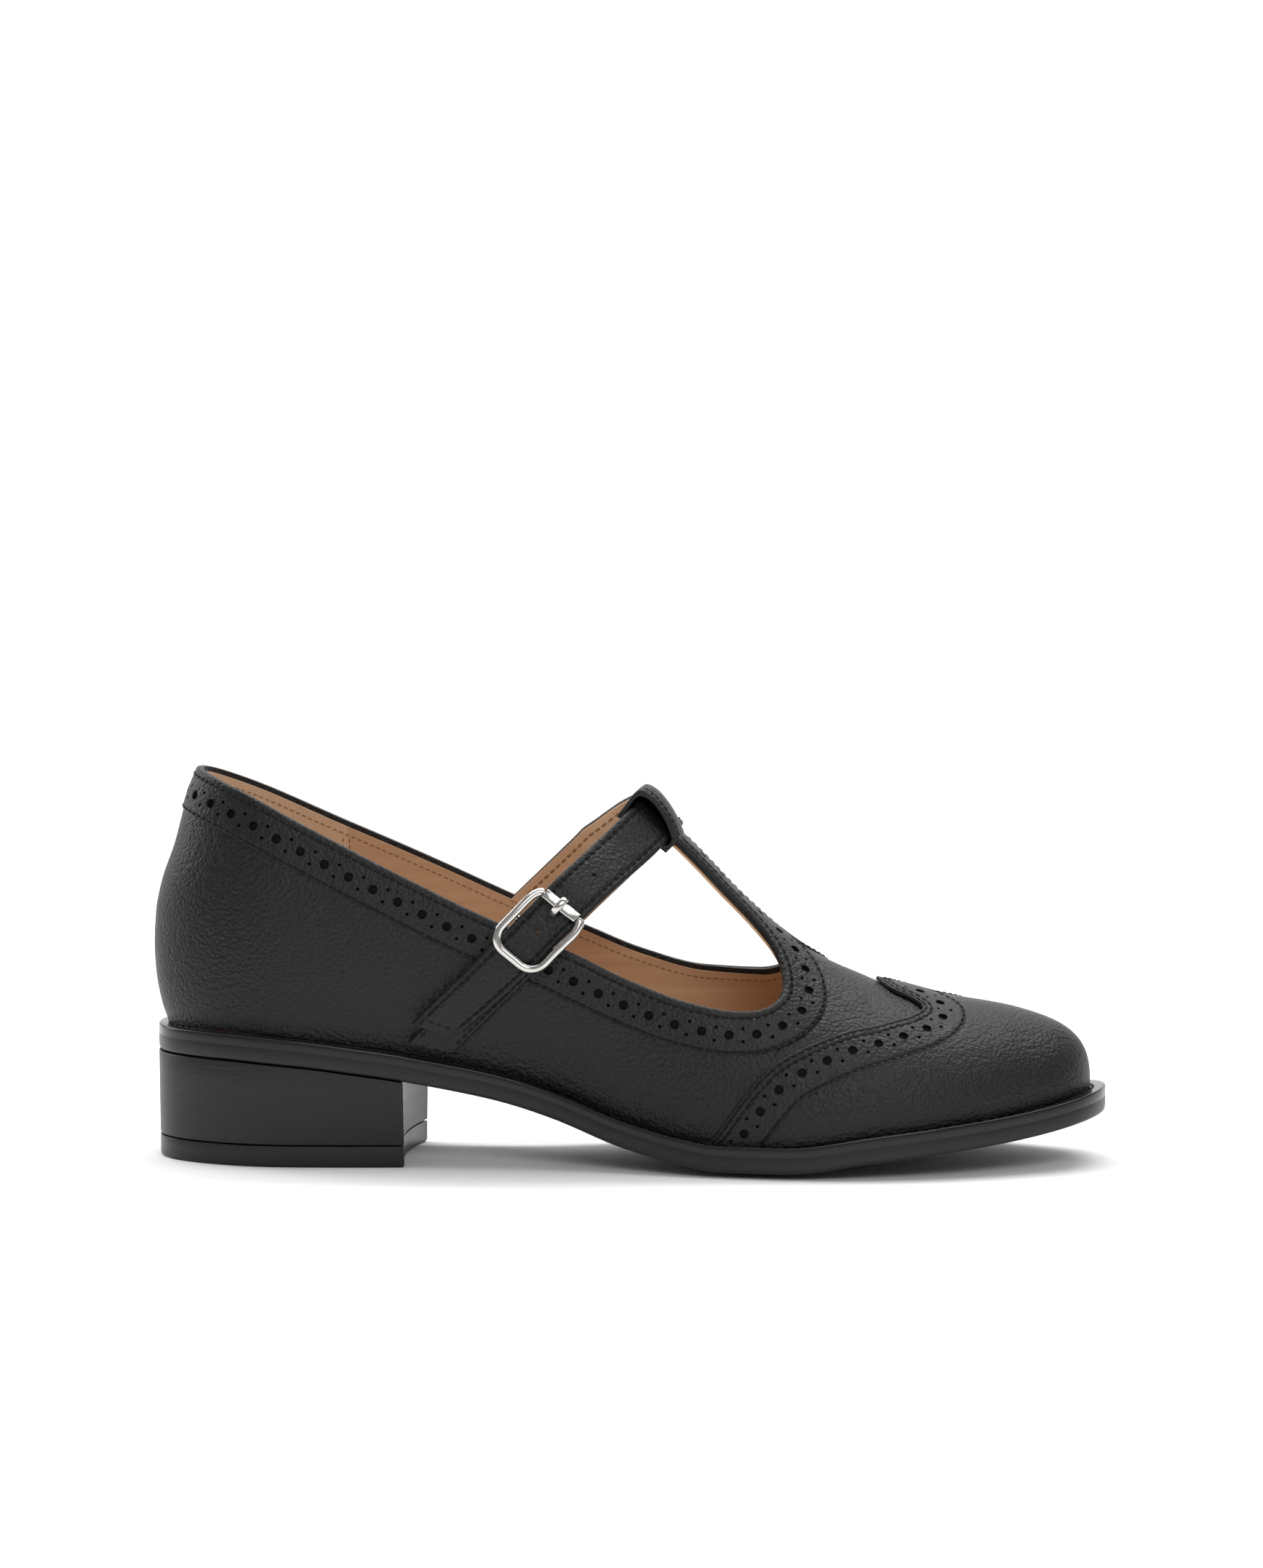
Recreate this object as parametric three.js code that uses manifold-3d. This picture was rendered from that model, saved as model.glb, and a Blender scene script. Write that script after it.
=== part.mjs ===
// A T-strap shoe for the right foot, about EU 38: a brogued leather upper on a welted sole and low heel.
// X runs to the toe, Y to the inner (big toe) side, Z up. The floor is Z = 0 and the origin is under the
// foot's heel, on the heel's wearing face. Lengths are in millimetres.
import * as THREE from 'three';
import Module from 'manifold-3d';

const wasm = await Module();
wasm.setup();

// Fit between pieces that touch
const clearance = 0.3;

// Sole and heel
const soleLength = 263.5;
const heelOverhang = 33.5;
const seatWidth = 61;
const ballWidth = 85.5;
const seatRadius = 31;
const toeRadius = 29;
const toeDrift = 8;
const outsoleThickness = 3.9;
const weltThickness = 3;
const weltRingWidth = 9.5;
const heelHeight = 30;
const toeSpring = 14;
const treadCamber = 1.7;
const camberReach = 18;
const heelBreast = 38.4;
const breastSag = 2.5;
const heelSideTaper = 3;
const heelBackTaper = 0.2;
const topPieceThickness = 6;
const topPieceRounding = 0.7;
const insoleThickness = 2;
const insoleEase = 0.6;

// Last and upper
const wall = 2.2;
const featherBack = 2.6;
const featherSide = 5;
const featherToe = 5.5;
const instepHeight = 91;
const toeHeight = 44;
const quarterHeight = 71.5;
const backLean = 10.7;
const seatBulge = 2.4;
const waistBulge = 7;
const forefootBulge = 2;
const heelRoundness = 2.15;
const collarTop = 109;
const throatAt = 0.668;
const throatNose = 16;
const outerThroatHeight = 50.5;
const innerThroatHeight = 57;
const barHalfWidth = 7;
const barTopAt = 0.556;
const barWall = 3.3;
const bandWidth = 12.3;
const bandStep = 0.4;
const capThickness = 1;

// Strap, its loop and the under-strap that holds the buckle
const strapSlope = 44.4;
const strapThickness = 2;
const strapHalfWidth = 6.4;
const buckleAt = 0.4122;
const strapTipReach = 40.5;
const strapTipSlant = 4.3;
const strapTipCorner = 3.2;
const strapLift = 2.8;
const buckleHeight = 65.2;
const tabThickness = 1.6;
const tabWidth = 10.8;
const tabShift = 2;
const tabFoot = 0.9;
const loopWall = 1.3;
const loopWidth = 17.9;
const loopLength = 15;
const loopRise = 3.9;
const loopDroop = 0.4;
const loopFloorShare = 0.85;

// Buckle
const frameLength = 20.6;
const frameWidth = 18.1;
const frameCorner = 6;
const rollerCorner = 3.2;
const lugRise = 0.2;
const wireWidth = 2.3;
const wireThickness = 1.9;
const rollerLength = 11;
const rollerSide = 2.6;
const rollerWall = 0.4;
const prongWidth = 2;
const prongThickness = 0.9;
const prongHole = 3;
const barDiameter = 1.6;

// The sole's rim seen from above: half widths as shares of the named width, from back to toe
const soleOutline = [
  { at: 0.04, outer: 0.35, inner: 0.35, of: seatWidth },
  { at: 0.12, outer: 0.495, inner: 0.495, of: seatWidth },
  { at: 0.20, outer: 0.49, inner: 0.485, of: seatWidth },
  { at: 0.30, outer: 0.445, inner: 0.43, of: seatWidth },
  { at: 0.40, outer: 0.305, inner: 0.29, of: ballWidth },
  { at: 0.50, outer: 0.355, inner: 0.355, of: ballWidth },
  { at: 0.60, outer: 0.425, inner: 0.465, of: ballWidth },
  { at: 0.68, outer: 0.45, inner: 0.535, of: ballWidth },
  { at: 0.76, outer: 0.435, inner: 0.555, of: ballWidth },
  { at: 0.84, outer: 0.37, inner: 0.52, of: ballWidth },
  { at: 0.92, outer: 0.245, inner: 0.415, of: ballWidth },
];

// The outsole's underside along its middle, and how much of the camber its edge has there
const underside = [
  { at: 0.00, height: 1.00, of: heelHeight, camber: 0 },
  { at: 0.08, height: 0.99, of: heelHeight, camber: 0 },
  { at: 0.16, height: 0.94, of: heelHeight, camber: 0 },
  { at: 0.23, height: 0.86, of: heelHeight, camber: 0 },
  { at: 0.27, height: 0.805, of: heelHeight, camber: 0 },
  { at: 0.37, height: 0.60, of: heelHeight, camber: 0.6 },
  { at: 0.43, height: 0.43, of: heelHeight, camber: 0.8 },
  { at: 0.50, height: 0.19, of: heelHeight, camber: 1 },
  { at: 0.56, height: 0.055, of: heelHeight, camber: 1 },
  { at: 0.605, height: 0, of: toeSpring, camber: 1 },
  { at: 0.675, height: 0, of: toeSpring, camber: 1 },
  { at: 0.76, height: 0.215, of: toeSpring, camber: 0.95 },
  { at: 0.84, height: 0.415, of: toeSpring, camber: 0.75 },
  { at: 0.92, height: 0.65, of: toeSpring, camber: 0.4 },
  { at: 1.00, height: 1.00, of: toeSpring, camber: 0 },
];

// The last's ridge above the floor. Behind the bar it is the foot's own line, which no leather follows
const ridgeLine = [
  { at: 0.156, height: 1.65, of: instepHeight, drift: 0 },
  { at: 0.278, height: 1.57, of: instepHeight, drift: 0 },
  { at: 0.354, height: 1.47, of: instepHeight, drift: 0 },
  { at: 0.43, height: 1.33, of: instepHeight, drift: 0 },
  { at: 0.487, height: 1.19, of: instepHeight, drift: 0 },
  { at: 0.555, height: 0.994, of: instepHeight, drift: 0.05 },
  { at: 0.587, height: 0.899, of: instepHeight, drift: 0.1 },
  { at: 0.618, height: 0.805, of: instepHeight, drift: 0.15 },
  { at: 0.649, height: 0.725, of: instepHeight, drift: 0.2 },
  { at: 0.68, height: 0.659, of: instepHeight, drift: 0.27 },
  { at: 0.71, height: 0.608, of: instepHeight, drift: 0.35 },
  { at: 0.741, height: 1.178, of: toeHeight, drift: 0.42 },
  { at: 0.763, height: 1.122, of: toeHeight, drift: 0.48 },
  { at: 0.786, height: 1.088, of: toeHeight, drift: 0.53 },
  { at: 0.847, height: 1.0, of: toeHeight, drift: 0.68 },
  { at: 0.90, height: 0.945, of: toeHeight, drift: 0.8 },
];

// How full each section is: exponents of its curve and its bulge over the feather line
const fullness = [
  { at: 0.156, shoulder: 1.8, crown: 1.4, bulge: 1, of: seatBulge },
  { at: 0.35, shoulder: 1.8, crown: 1.4, bulge: 1, of: waistBulge },
  { at: 0.44, shoulder: 1.7, crown: 1.6, bulge: 0.9, of: waistBulge },
  { at: 0.50, shoulder: 1.4, crown: 2.2, bulge: 0.6, of: waistBulge },
  { at: 0.555, shoulder: 1.3, crown: 2.6, bulge: 1.5, of: forefootBulge },
  { at: 0.618, shoulder: 1.3, crown: 2.5, bulge: 1.2, of: forefootBulge },
  { at: 0.68, shoulder: 1.5, crown: 2.1, bulge: 1, of: forefootBulge },
  { at: 0.741, shoulder: 1.85, crown: 1.8, bulge: 0.75, of: forefootBulge },
  { at: 0.80, shoulder: 2, crown: 1.85, bulge: 0.6, of: forefootBulge },
  { at: 0.90, shoulder: 2.2, crown: 1.9, bulge: 0.5, of: forefootBulge },
  { at: 1.00, shoulder: 2.3, crown: 2, bulge: 0.25, of: forefootBulge },
];

// The heel's back curve: how far it leans in at each share of the quarter's height
const backCurve = [
  { up: 0.00, lean: 0.24 },
  { up: 0.08, lean: 0.06 },
  { up: 0.20, lean: -0.08 },
  { up: 0.30, lean: -0.115 },
  { up: 0.43, lean: -0.07 },
  { up: 0.55, lean: 0.09 },
  { up: 0.69, lean: 0.42 },
  { up: 0.89, lean: 0.785 },
  { up: 0.97, lean: 1.0 },
  { up: 1.15, lean: 1.45 },
];

// The topline's height on both sides, as shares of the collar's top
const topline = [
  { at: 0.040, outer: 1.0, inner: 1.0 },
  { at: 0.097, outer: 0.948, inner: 0.941 },
  { at: 0.171, outer: 0.859, inner: 0.860 },
  { at: 0.269, outer: 0.742, inner: 0.758 },
  { at: 0.367, outer: 0.630, inner: 0.653 },
  { at: 0.4525, outer: 0.547, inner: 0.566 },
  { at: 0.506, outer: 0.486, inner: 0.514 },
  { at: 0.5726, outer: 0.430, inner: 0.471 },
  { at: 0.620, outer: 0.410, inner: 0.466 },
  { at: 0.668, outer: 0.408, inner: 0.466 },
];

// Where the wing cap's back edge runs, from the feather line (up 0) to its peak on the ridge (up 1)
const wingLine = [
  { up: 0.00, at: 0.588 },
  { up: 0.11, at: 0.605 },
  { up: 0.22, at: 0.625 },
  { up: 0.33, at: 0.653 },
  { up: 0.41, at: 0.687 },
  { up: 0.48, at: 0.731 },
  { up: 0.56, at: 0.772 },
  { up: 0.64, at: 0.799 },
  { up: 0.72, at: 0.809 },
  { up: 0.78, at: 0.80 },
  { up: 0.85, at: 0.776 },
  { up: 1.00, at: 0.758 },
];

// The strap's edges from its middle line, by the distance from the buckle's centre towards the tip
const strapEdges = [
  { from: -2.0, rear: 1.9, front: 1.05 },
  { from: -1.7, rear: 1.35, front: 1.05 },
  { from: -1.4, rear: 1.08, front: 1.06 },
  { from: -0.95, rear: 1.06, front: 1.06 },
  { from: -0.3, rear: 1, front: 1 },
  { from: 0.25, rear: 1, front: 0.97 },
  { from: 1, rear: 1.04, front: 0.66 },
];

// How far the strap's underside stands off the last there, as a share of its lift at the buckle
const strapStand = [
  { from: -2.1, lift: -0.76 },
  { from: -1.75, lift: -0.76 },
  { from: -1.45, lift: -1.0 },
  { from: -1.2, lift: -1.15 },
  { from: -1.0, lift: -1.0 },
  { from: -0.75, lift: -0.3 },
  { from: -0.55, lift: 0.4 },
  { from: -0.33, lift: 1 },
  { from: 1, lift: 1 },
];

// The loop's arch from its front to its rear, as shares of its half width and of its rise
const loopArch = [
  { across: 1.0, rise: -0.1 },
  { across: 0.96, rise: 0.15 },
  { across: 0.73, rise: 0.41 },
  { across: 0.34, rise: 0.72 },
  { across: -0.06, rise: 0.92 },
  { across: -0.45, rise: 1.0 },
  { across: -0.73, rise: 0.92 },
  { across: -0.96, rise: 0.62 },
  { across: -1.0, rise: 0.18 },
];

const outerSide = -1;
const innerSide = 1;
const sides = [outerSide, innerSide];
const quarterTurn = Math.PI / 2;

// Small helpers
const lerp = THREE.MathUtils.lerp;
const clamp = THREE.MathUtils.clamp;
const steps = (count) => Array.from({ length: count + 1 }, (_, i) => i / count);
const share = (x) => (x + heelOverhang) / soleLength;
const along = (at) => at * soleLength - heelOverhang;
const seatAt = 0.1575;
const sectionStart = along(seatAt);
const throatFront = along(throatAt);
const barTop = along(barTopAt);
const point = (x, y, z) => new THREE.Vector3(x, y, z);

// A smooth curve through the rows of a table, which never swings past them
function curveThrough(xs, ys) {
  const last = xs.length - 1;
  const rise = xs.slice(1).map((x, i) => (ys[i + 1] - ys[i]) / (x - xs[i]));
  const slope = xs.map((_, i) => {
    if (i === 0) return rise[0];
    if (i === last) return rise[last - 1];
    const before = rise[i - 1];
    const after = rise[i];
    return before * after <= 0 ? 0 : (2 * before * after) / (before + after);
  });
  return (x) => {
    let i = 0;
    while (i < last - 1 && x > xs[i + 1]) i += 1;
    const span = xs[i + 1] - xs[i];
    const f = clamp((x - xs[i]) / span, 0, 1);
    const start = (1 + 2 * f) * (1 - f) ** 2;
    const end = f * f * (3 - 2 * f);
    const leave = f * (1 - f) ** 2;
    const arrive = f * f * (f - 1);
    return start * ys[i] + end * ys[i + 1] + span * (leave * slope[i] + arrive * slope[i + 1]);
  };
}

// A column of a table as a curve over another column
function column(table, key, over = 'at') {
  const lengths = table.map((row) => row[key] * (key === 'height' || key === 'bulge' ? row.of : 1));
  return curveThrough(table.map((row) => row[over]), lengths);
}

// One side of a plan outline: round at both tips and smooth through its points
function sideOutline(back, toe, backRadius, frontRadius, points) {
  const length = toe.x - back.x;
  const middle = (u) => lerp(back.y, toe.y, u);
  const side = Math.sign(points[0].y - middle((points[0].x - back.x) / length));
  const shares = points.map((p) => (p.x - back.x) / length);
  const shape = points.map((p, i) => Math.abs(p.y - middle(shares[i])) / Math.sqrt(shares[i] * (1 - shares[i])));
  shape.unshift(Math.sqrt(2 * backRadius * length));
  shape.push(Math.sqrt(2 * frontRadius * length));
  const fit = curveThrough([0, ...shares, 1], shape);
  const y = (x) => {
    const u = clamp((x - back.x) / length, 0, 1);
    return middle(u) + side * fit(u) * Math.sqrt(u * (1 - u));
  };
  return { back, toe, backRadius, frontRadius, points, side, y };
}

// The same outline moved inwards along its own normals
function insetOutline(outline, backInset, sideInset, toeInset) {
  const reach = 0.5;
  const points = outline.points.map((p) => {
    const normal = new THREE.Vector2(outline.y(p.x + reach) - outline.y(p.x - reach), -2 * reach);
    normal.setLength(outline.side * sideInset);
    return point(p.x + normal.x, p.y + normal.y, 0);
  });
  const back = point(outline.back.x + backInset, outline.back.y, 0);
  const toe = point(outline.toe.x - toeInset, outline.toe.y, 0);
  return sideOutline(back, toe, outline.backRadius - backInset, outline.frontRadius - toeInset, points);
}

// A pair of side outlines, worked out for the outer and the inner side alike
const bothSides = (make) => ({ [outerSide]: make(outerSide), [innerSide]: make(innerSide) });

const rim = bothSides((side) => {
  const key = side === outerSide ? 'outer' : 'inner';
  const points = soleOutline.map((row) => point(along(row.at), side * row[key] * row.of, 0));
  return sideOutline(point(along(0), 0, 0), point(along(1), toeDrift, 0), seatRadius, toeRadius, points);
});
const insetRim = (back, side, toe) => bothSides((s) => insetOutline(rim[s], back, side, toe));

// Heights of the sole's layers over the floor
const undersideHeight = column(underside, 'height');
const camberShare = column(underside, 'camber');

function soleUnderside(x, y) {
  const toEdge = Math.min(y - rim[outerSide].y(x), rim[innerSide].y(x) - y);
  const edge = 1 - clamp(toEdge / camberReach, 0, 1);
  return undersideHeight(share(x)) + treadCamber * camberShare(share(x)) * edge * edge;
}

const weltBase = outsoleThickness + clearance;
const weltTop = weltBase + weltThickness;
const featherLevel = weltTop + clearance;
const onLayer = (level) => (x, y) => soleUnderside(x, y) + level;

// Joins grids of points into one closed surface, all its faces turned outwards
function closedSurface(grids) {
  const corners = [];
  const known = new Map();
  const cornerOf = (p) => {
    const key = p.toArray().map((v) => Math.round(v * 1000)).join();
    if (!known.has(key)) {
      known.set(key, corners.length);
      corners.push(p);
    }
    return known.get(key);
  };
  const faces = [];
  const addFace = (...face) => {
    if (new Set(face).size === 3) faces.push(face);
  };
  for (const grid of grids) {
    for (let i = 0; i + 1 < grid.length; i += 1) {
      for (let j = 0; j + 1 < grid[i].length; j += 1) {
        const [a, b, c, d] = [grid[i][j], grid[i + 1][j], grid[i + 1][j + 1], grid[i][j + 1]];
        const [ka, kb, kc, kd] = [a, b, c, d].map(cornerOf);
        if (a.distanceTo(c) <= b.distanceTo(d)) {
          addFace(ka, kb, kc);
          addFace(ka, kc, kd);
        } else {
          addFace(ka, kb, kd);
          addFace(kb, kc, kd);
        }
      }
    }
  }
  turnAlike(faces);
  return surfaceOf(corners, faces);
}

// Turns every face the way its neighbour runs, edge by edge
function turnAlike(faces) {
  const edges = new Map();
  const edgeKey = (a, b) => (a < b ? `${a},${b}` : `${b},${a}`);
  faces.forEach((face, f) => {
    face.forEach((a, k) => {
      const key = edgeKey(a, face[(k + 1) % 3]);
      edges.set(key, [...(edges.get(key) ?? []), f]);
    });
  });
  const runs = (face, a, b) => face.some((v, k) => v === a && face[(k + 1) % 3] === b);
  const seen = new Set([0]);
  const queue = [0];
  while (queue.length) {
    const face = faces[queue.pop()];
    for (const k of [0, 1, 2]) {
      const a = face[k];
      const b = face[(k + 1) % 3];
      for (const next of edges.get(edgeKey(a, b))) {
        if (seen.has(next)) continue;
        if (runs(faces[next], a, b)) faces[next].reverse();
        seen.add(next);
        queue.push(next);
      }
    }
  }
}

// A geometry from corners and faces, turned inside out if its volume is negative
function surfaceOf(corners, faces) {
  const volume = faces.reduce((sum, [a, b, c]) => {
    return sum + corners[a].dot(corners[b].clone().cross(corners[c]));
  }, 0);
  if (volume < 0) faces.forEach((face) => face.reverse());
  const geometry = new THREE.BufferGeometry();
  const positions = corners.flatMap((p) => p.toArray());
  geometry.setAttribute('position', new THREE.Float32BufferAttribute(positions, 3));
  geometry.setIndex(faces.flat());
  return geometry;
}

// A closed skin through loops of points, capped at both ends or closed on itself
function loft(loops, closed = false) {
  const ring = loops.map((loop) => [...loop, loop[0]]);
  if (closed) return closedSurface([[...ring, ring[0]]]);
  const caps = [loops[0], loops.at(-1)].map((loop) => {
    const half = loop.length / 2;
    return [loop.slice(0, half), loop.slice(half).reverse()];
  });
  return closedSurface([ring, ...caps]);
}

// Boolean joins and cuts
function solidOf(geometry) {
  const vertProperties = new Float32Array(geometry.attributes.position.array);
  const triVerts = new Uint32Array(geometry.index.array);
  return new wasm.Manifold(new wasm.Mesh({ numProp: 3, vertProperties, triVerts }));
}

function geometryOf(solid) {
  const mesh = solid.getMesh();
  const geometry = new THREE.BufferGeometry();
  const positions = [];
  for (let i = 0; i < mesh.vertProperties.length; i += mesh.numProp) {
    positions.push(...mesh.vertProperties.slice(i, i + 3));
  }
  geometry.setAttribute('position', new THREE.Float32BufferAttribute(positions, 3));
  geometry.setIndex([...mesh.triVerts]);
  return geometry;
}

// Where the sole's columns stand in an outline: alike in every layer, and closer at the tips
const soleColumns = 46;

function soleColumn({ back, toe }, f) {
  const u = (1 - Math.cos(Math.PI * f)) / 2;
  return along(u) + (back.x - along(0)) * (1 - u) ** 6 + (toe.x - along(1)) * u ** 6;
}

// A flat sheet with a plan outline: its top and bottom follow the given heights
const soleAcross = [0, 0.1, 0.24, 0.42, 0.58, 0.76, 0.9, 1];

function sheet(outline, bottom, top, across = soleAcross) {
  const outer = outline[outerSide];
  const inner = outline[innerSide];
  const rows = steps(soleColumns).map((f) => {
    const x = soleColumn(outer, f);
    return across.map((v) => point(x, lerp(outer.y(x), inner.y(x), v), 0));
  });
  const raise = (height) => rows.map((row) => row.map((p) => point(p.x, p.y, height(p.x, p.y))));
  const upper = raise(top);
  const lower = raise(bottom);
  const walls = [0, across.length - 1].map((j) => upper.map((row, i) => [row[j], lower[i][j]]));
  return [upper, lower, ...walls];
}

const outsole = () => closedSurface(sheet(rim, onLayer(0), onLayer(outsoleThickness)));

// Points round a plan outline, from the back along the outer side to the toe and back again
function around(outline) {
  const walk = (side) => steps(soleColumns).map((f) => {
    const x = soleColumn(outline[side], f);
    return point(x, outline[side].y(x), 0);
  });
  return [...walk(outerSide).slice(0, -1), ...walk(innerSide).reverse().slice(0, -1)];
}

function welt() {
  const outer = around(rim);
  const inner = around(insetRim(weltRingWidth, weltRingWidth, weltRingWidth));
  const at = (p, level) => point(p.x, p.y, soleUnderside(p.x, p.y) + level);
  const loops = outer.map((p, i) => [
    at(p, weltBase), at(p, weltTop), at(inner[i], weltTop), at(inner[i], weltBase),
  ]);
  return loft(loops, true);
}

// Heel block and wearing piece: a rounded back, tapered sides and a breast that is hollow in plan
function heelGrid(level) {
  const across = [0, 0.12, 0.3, 0.5, 0.7, 0.88, 1];
  const back = along(0) + heelBackTaper * (1 - level);
  return steps(11).map((f) => across.map((v) => {
    const spread = 2 * v - 1;
    const breast = heelBreast - breastSag * (1 - spread * spread);
    const x = lerp(back, breast, 1 - Math.cos(quarterTurn * f));
    const rimX = along(0) + (x - back);
    const narrower = (side) => {
      const y = rim[side].y(rimX);
      const half = rim[side].y(heelBreast / 2);
      return y * (1 - ((1 - level) * heelSideTaper) / Math.abs(half));
    };
    return point(x, lerp(narrower(outerSide), narrower(innerSide), v), 0);
  }));
}

function heelSolid(levels, heights) {
  const layers = levels.map((level, k) => heelGrid(level).map((row) => row.map((p) => {
    return point(p.x, p.y, heights[k](p.x, p.y));
  })));
  const last = layers[0][0].length - 1;
  const walls = [0, last].map((j) => layers[0].map((_, i) => layers.map((layer) => layer[i][j])));
  const breast = layers[0][0].map((_, j) => layers.map((layer) => layer.at(-1)[j]));
  return closedSurface([layers[0], layers.at(-1), ...walls, breast]);
}

function heelBlock() {
  const foot = topPieceThickness + clearance;
  const seat = onLayer(-clearance);
  const middle = (x, y) => lerp(foot, seat(x, y), 0.5);
  return heelSolid([0.15, 0.5, 1], [() => foot, middle, seat]);
}

function heelTopPiece() {
  const rounding = topPieceRounding;
  const heights = [() => 0, () => rounding, () => topPieceThickness];
  return heelSolid([-rounding / heelSideTaper, 0, 0.13], heights);
}

// The last: sections across the foot ahead of the seat, and a rounded heel behind it.
// A station of -1 is the back seam, 0 the middle of the seat, and above that it counts mm to the toe.
const feather = insetRim(featherBack, featherSide, featherToe);
const lastTip = feather[outerSide].toe.x;
const shoulder = column(fullness, 'shoulder');
const crown = column(fullness, 'crown');
const bulge = column(fullness, 'bulge');
const drift = column(ridgeLine, 'drift');
const lean = column(backCurve, 'lean', 'up');
const toeFrontPower = 1 / 3;
const bulgeTop = 0.8;
const featherHeight = (x, y) => soleUnderside(x, y) + featherLevel;

function ridgeDrift(x) {
  const known = ridgeLine.at(-1);
  const beyond = (share(x) - known.at) / (share(lastTip) - known.at);
  return toeDrift * (beyond > 0 ? lerp(known.drift, 1, Math.min(1, beyond)) : drift(share(x)));
}

const ridgeHeight = (() => {
  const xs = ridgeLine.map((row) => along(row.at));
  const base = (x) => featherHeight(x, ridgeDrift(x));
  const shape = ridgeLine.map((row, i) => {
    return (row.height * row.of - base(xs[i])) / (lastTip - xs[i]) ** toeFrontPower;
  });
  const fit = curveThrough(xs, shape);
  return (x) => base(x) + fit(x) * Math.max(0, lastTip - x) ** toeFrontPower;
})();

// Half a section: how far out the last is at a share h of its height
function halfWidth(x, h, side) {
  const at = share(x);
  const foot = Math.abs(feather[side].y(x) - ridgeDrift(x));
  const curve = (1 - h ** shoulder(at)) ** (1 / crown(at));
  const swell = bulge(at) * Math.min(1, foot / camberReach);
  return foot * curve + swell * Math.sin(Math.PI * Math.min(1, h / bulgeTop));
}

function lastPoint(station, t, side) {
  const x = sectionStart + Math.max(0, station);
  const h = Math.sin(quarterTurn * t) ** (2 / shoulder(share(x)));
  const y = ridgeDrift(x) + side * halfWidth(x, h, side);
  const sideBase = featherHeight(x, feather[side].y(x));
  if (station >= 0) return point(x, y, lerp(sideBase, ridgeHeight(x), h));
  const turn = (1 + station) * quarterTurn;
  const foot = heelPoint(turn, sideBase, feather[side].y(x));
  const z = lerp(featherHeight(foot.x, foot.y), ridgeHeight(x), h);
  return heelPoint(turn, z, y);
}

// A point of the rounded heel at one height, turned from the back (0) to the side (a quarter turn)
function heelPoint(turn, z, sideY) {
  const up = (z - featherHeight(along(0), 0)) / quarterHeight;
  const depth = sectionStart - along(0) - backLean * lean(up);
  const x = sectionStart - depth * Math.cos(turn) ** (2 / heelRoundness);
  return point(x, sideY * Math.sin(turn) ** (2 / heelRoundness), z);
}

function lastNormal(station, t, side) {
  const reach = station < 0 ? 0.004 : 0.02;
  if (station >= lastTip - sectionStart - reach) return point(1, 0, 0);
  const zoneStart = station < 0 ? -1 : 0;
  const zoneEnd = station < 0 ? 0 : lastTip - sectionStart;
  const from = lastPoint(Math.max(zoneStart, station - reach), t, side);
  const to = lastPoint(Math.min(zoneEnd, station + reach), t, side);
  const low = lastPoint(station, Math.max(0, t - 0.002), side);
  const high = lastPoint(station, Math.min(1, t + 0.002), side);
  if (t >= 1) return point(from.z - to.z, 0, to.x - from.x).normalize();
  const normal = to.sub(from).cross(high.sub(low)).normalize();
  if (side === innerSide) normal.negate();
  if (station <= -1) normal.y = 0;
  return normal.normalize();
}

// A point off the last's surface, outwards if the offset is positive
function offLast(station, t, side, offset) {
  const p = lastPoint(station, t, side);
  p.addScaledVector(lastNormal(station, t, side), offset);
  if (t === 0) p.z = featherHeight(p.x, p.y);
  return p;
}

// The share t at which a column of the last passes a test, found by halving
function crossing(station, side, isPast) {
  let low = 0;
  let high = 1;
  for (let i = 0; i < 30; i += 1) {
    const t = (low + high) / 2;
    if (isPast(lastPoint(station, t, side))) high = t;
    else low = t;
  }
  return (low + high) / 2;
}

const lineHeights = bothSides((side) => column(topline, side === outerSide ? 'outer' : 'inner'));
const throatHeight = { [outerSide]: outerThroatHeight, [innerSide]: innerThroatHeight };
const noseShare = (x, length) => clamp((throatFront - x) / length, 0, 1);
const noseRise = (e) => 1 - Math.sqrt(1 - (1 - e) ** 2);

function toplineHeight(x, side) {
  const low = collarTop * lineHeights[side](share(x));
  return low + (throatHeight[side] - low) * noseRise(noseShare(x, throatNose * 0.65));
}

function toplineShare(station, side) {
  const line = station <= -1 ? outerSide : side;
  return crossing(station, side, (p) => p.z > toplineHeight(p.x, line));
}
const throatStation = throatFront - sectionStart;
const throatShare = bothSides((side) => toplineShare(throatStation, side));

function barShare(station, side) {
  const x = sectionStart + station;
  const front = Math.abs(lastPoint(throatStation, throatShare[side], side).y - ridgeDrift(throatFront));
  const half = barHalfWidth + (front - barHalfWidth) * noseRise(noseShare(x, throatNose));
  return crossing(station, side, (p) => Math.abs(p.y - ridgeDrift(x)) < half);
}

// The strap's own frame: its plane leans back, and it is crossed from the rear to the front edge
const strapAngle = THREE.MathUtils.degToRad(strapSlope);
const strapUp = point(Math.cos(strapAngle), 0, Math.sin(strapAngle));
const strapAcross = point(Math.sin(strapAngle), 0, -Math.cos(strapAngle));
const buckleSpot = point(along(buckleAt), 0, buckleHeight);
const acrossOf = (p) => p.clone().sub(buckleSpot).dot(strapAcross);
const upOf = (p) => p.clone().sub(buckleSpot).dot(strapUp);

// The station at which a row of the last passes a distance across the strap, found by halving
function stationAcross(across, t, side) {
  let low = 0;
  let high = throatStation + throatNose;
  for (let i = 0; i < 30; i += 1) {
    const station = (low + high) / 2;
    if (acrossOf(lastPoint(station, t, side)) > across) high = station;
    else low = station;
  }
  return (low + high) / 2;
}

// The T-bar ends at the loop, level across the strap
const barEndAcross = loopWidth / 2 + clearance;

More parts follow.
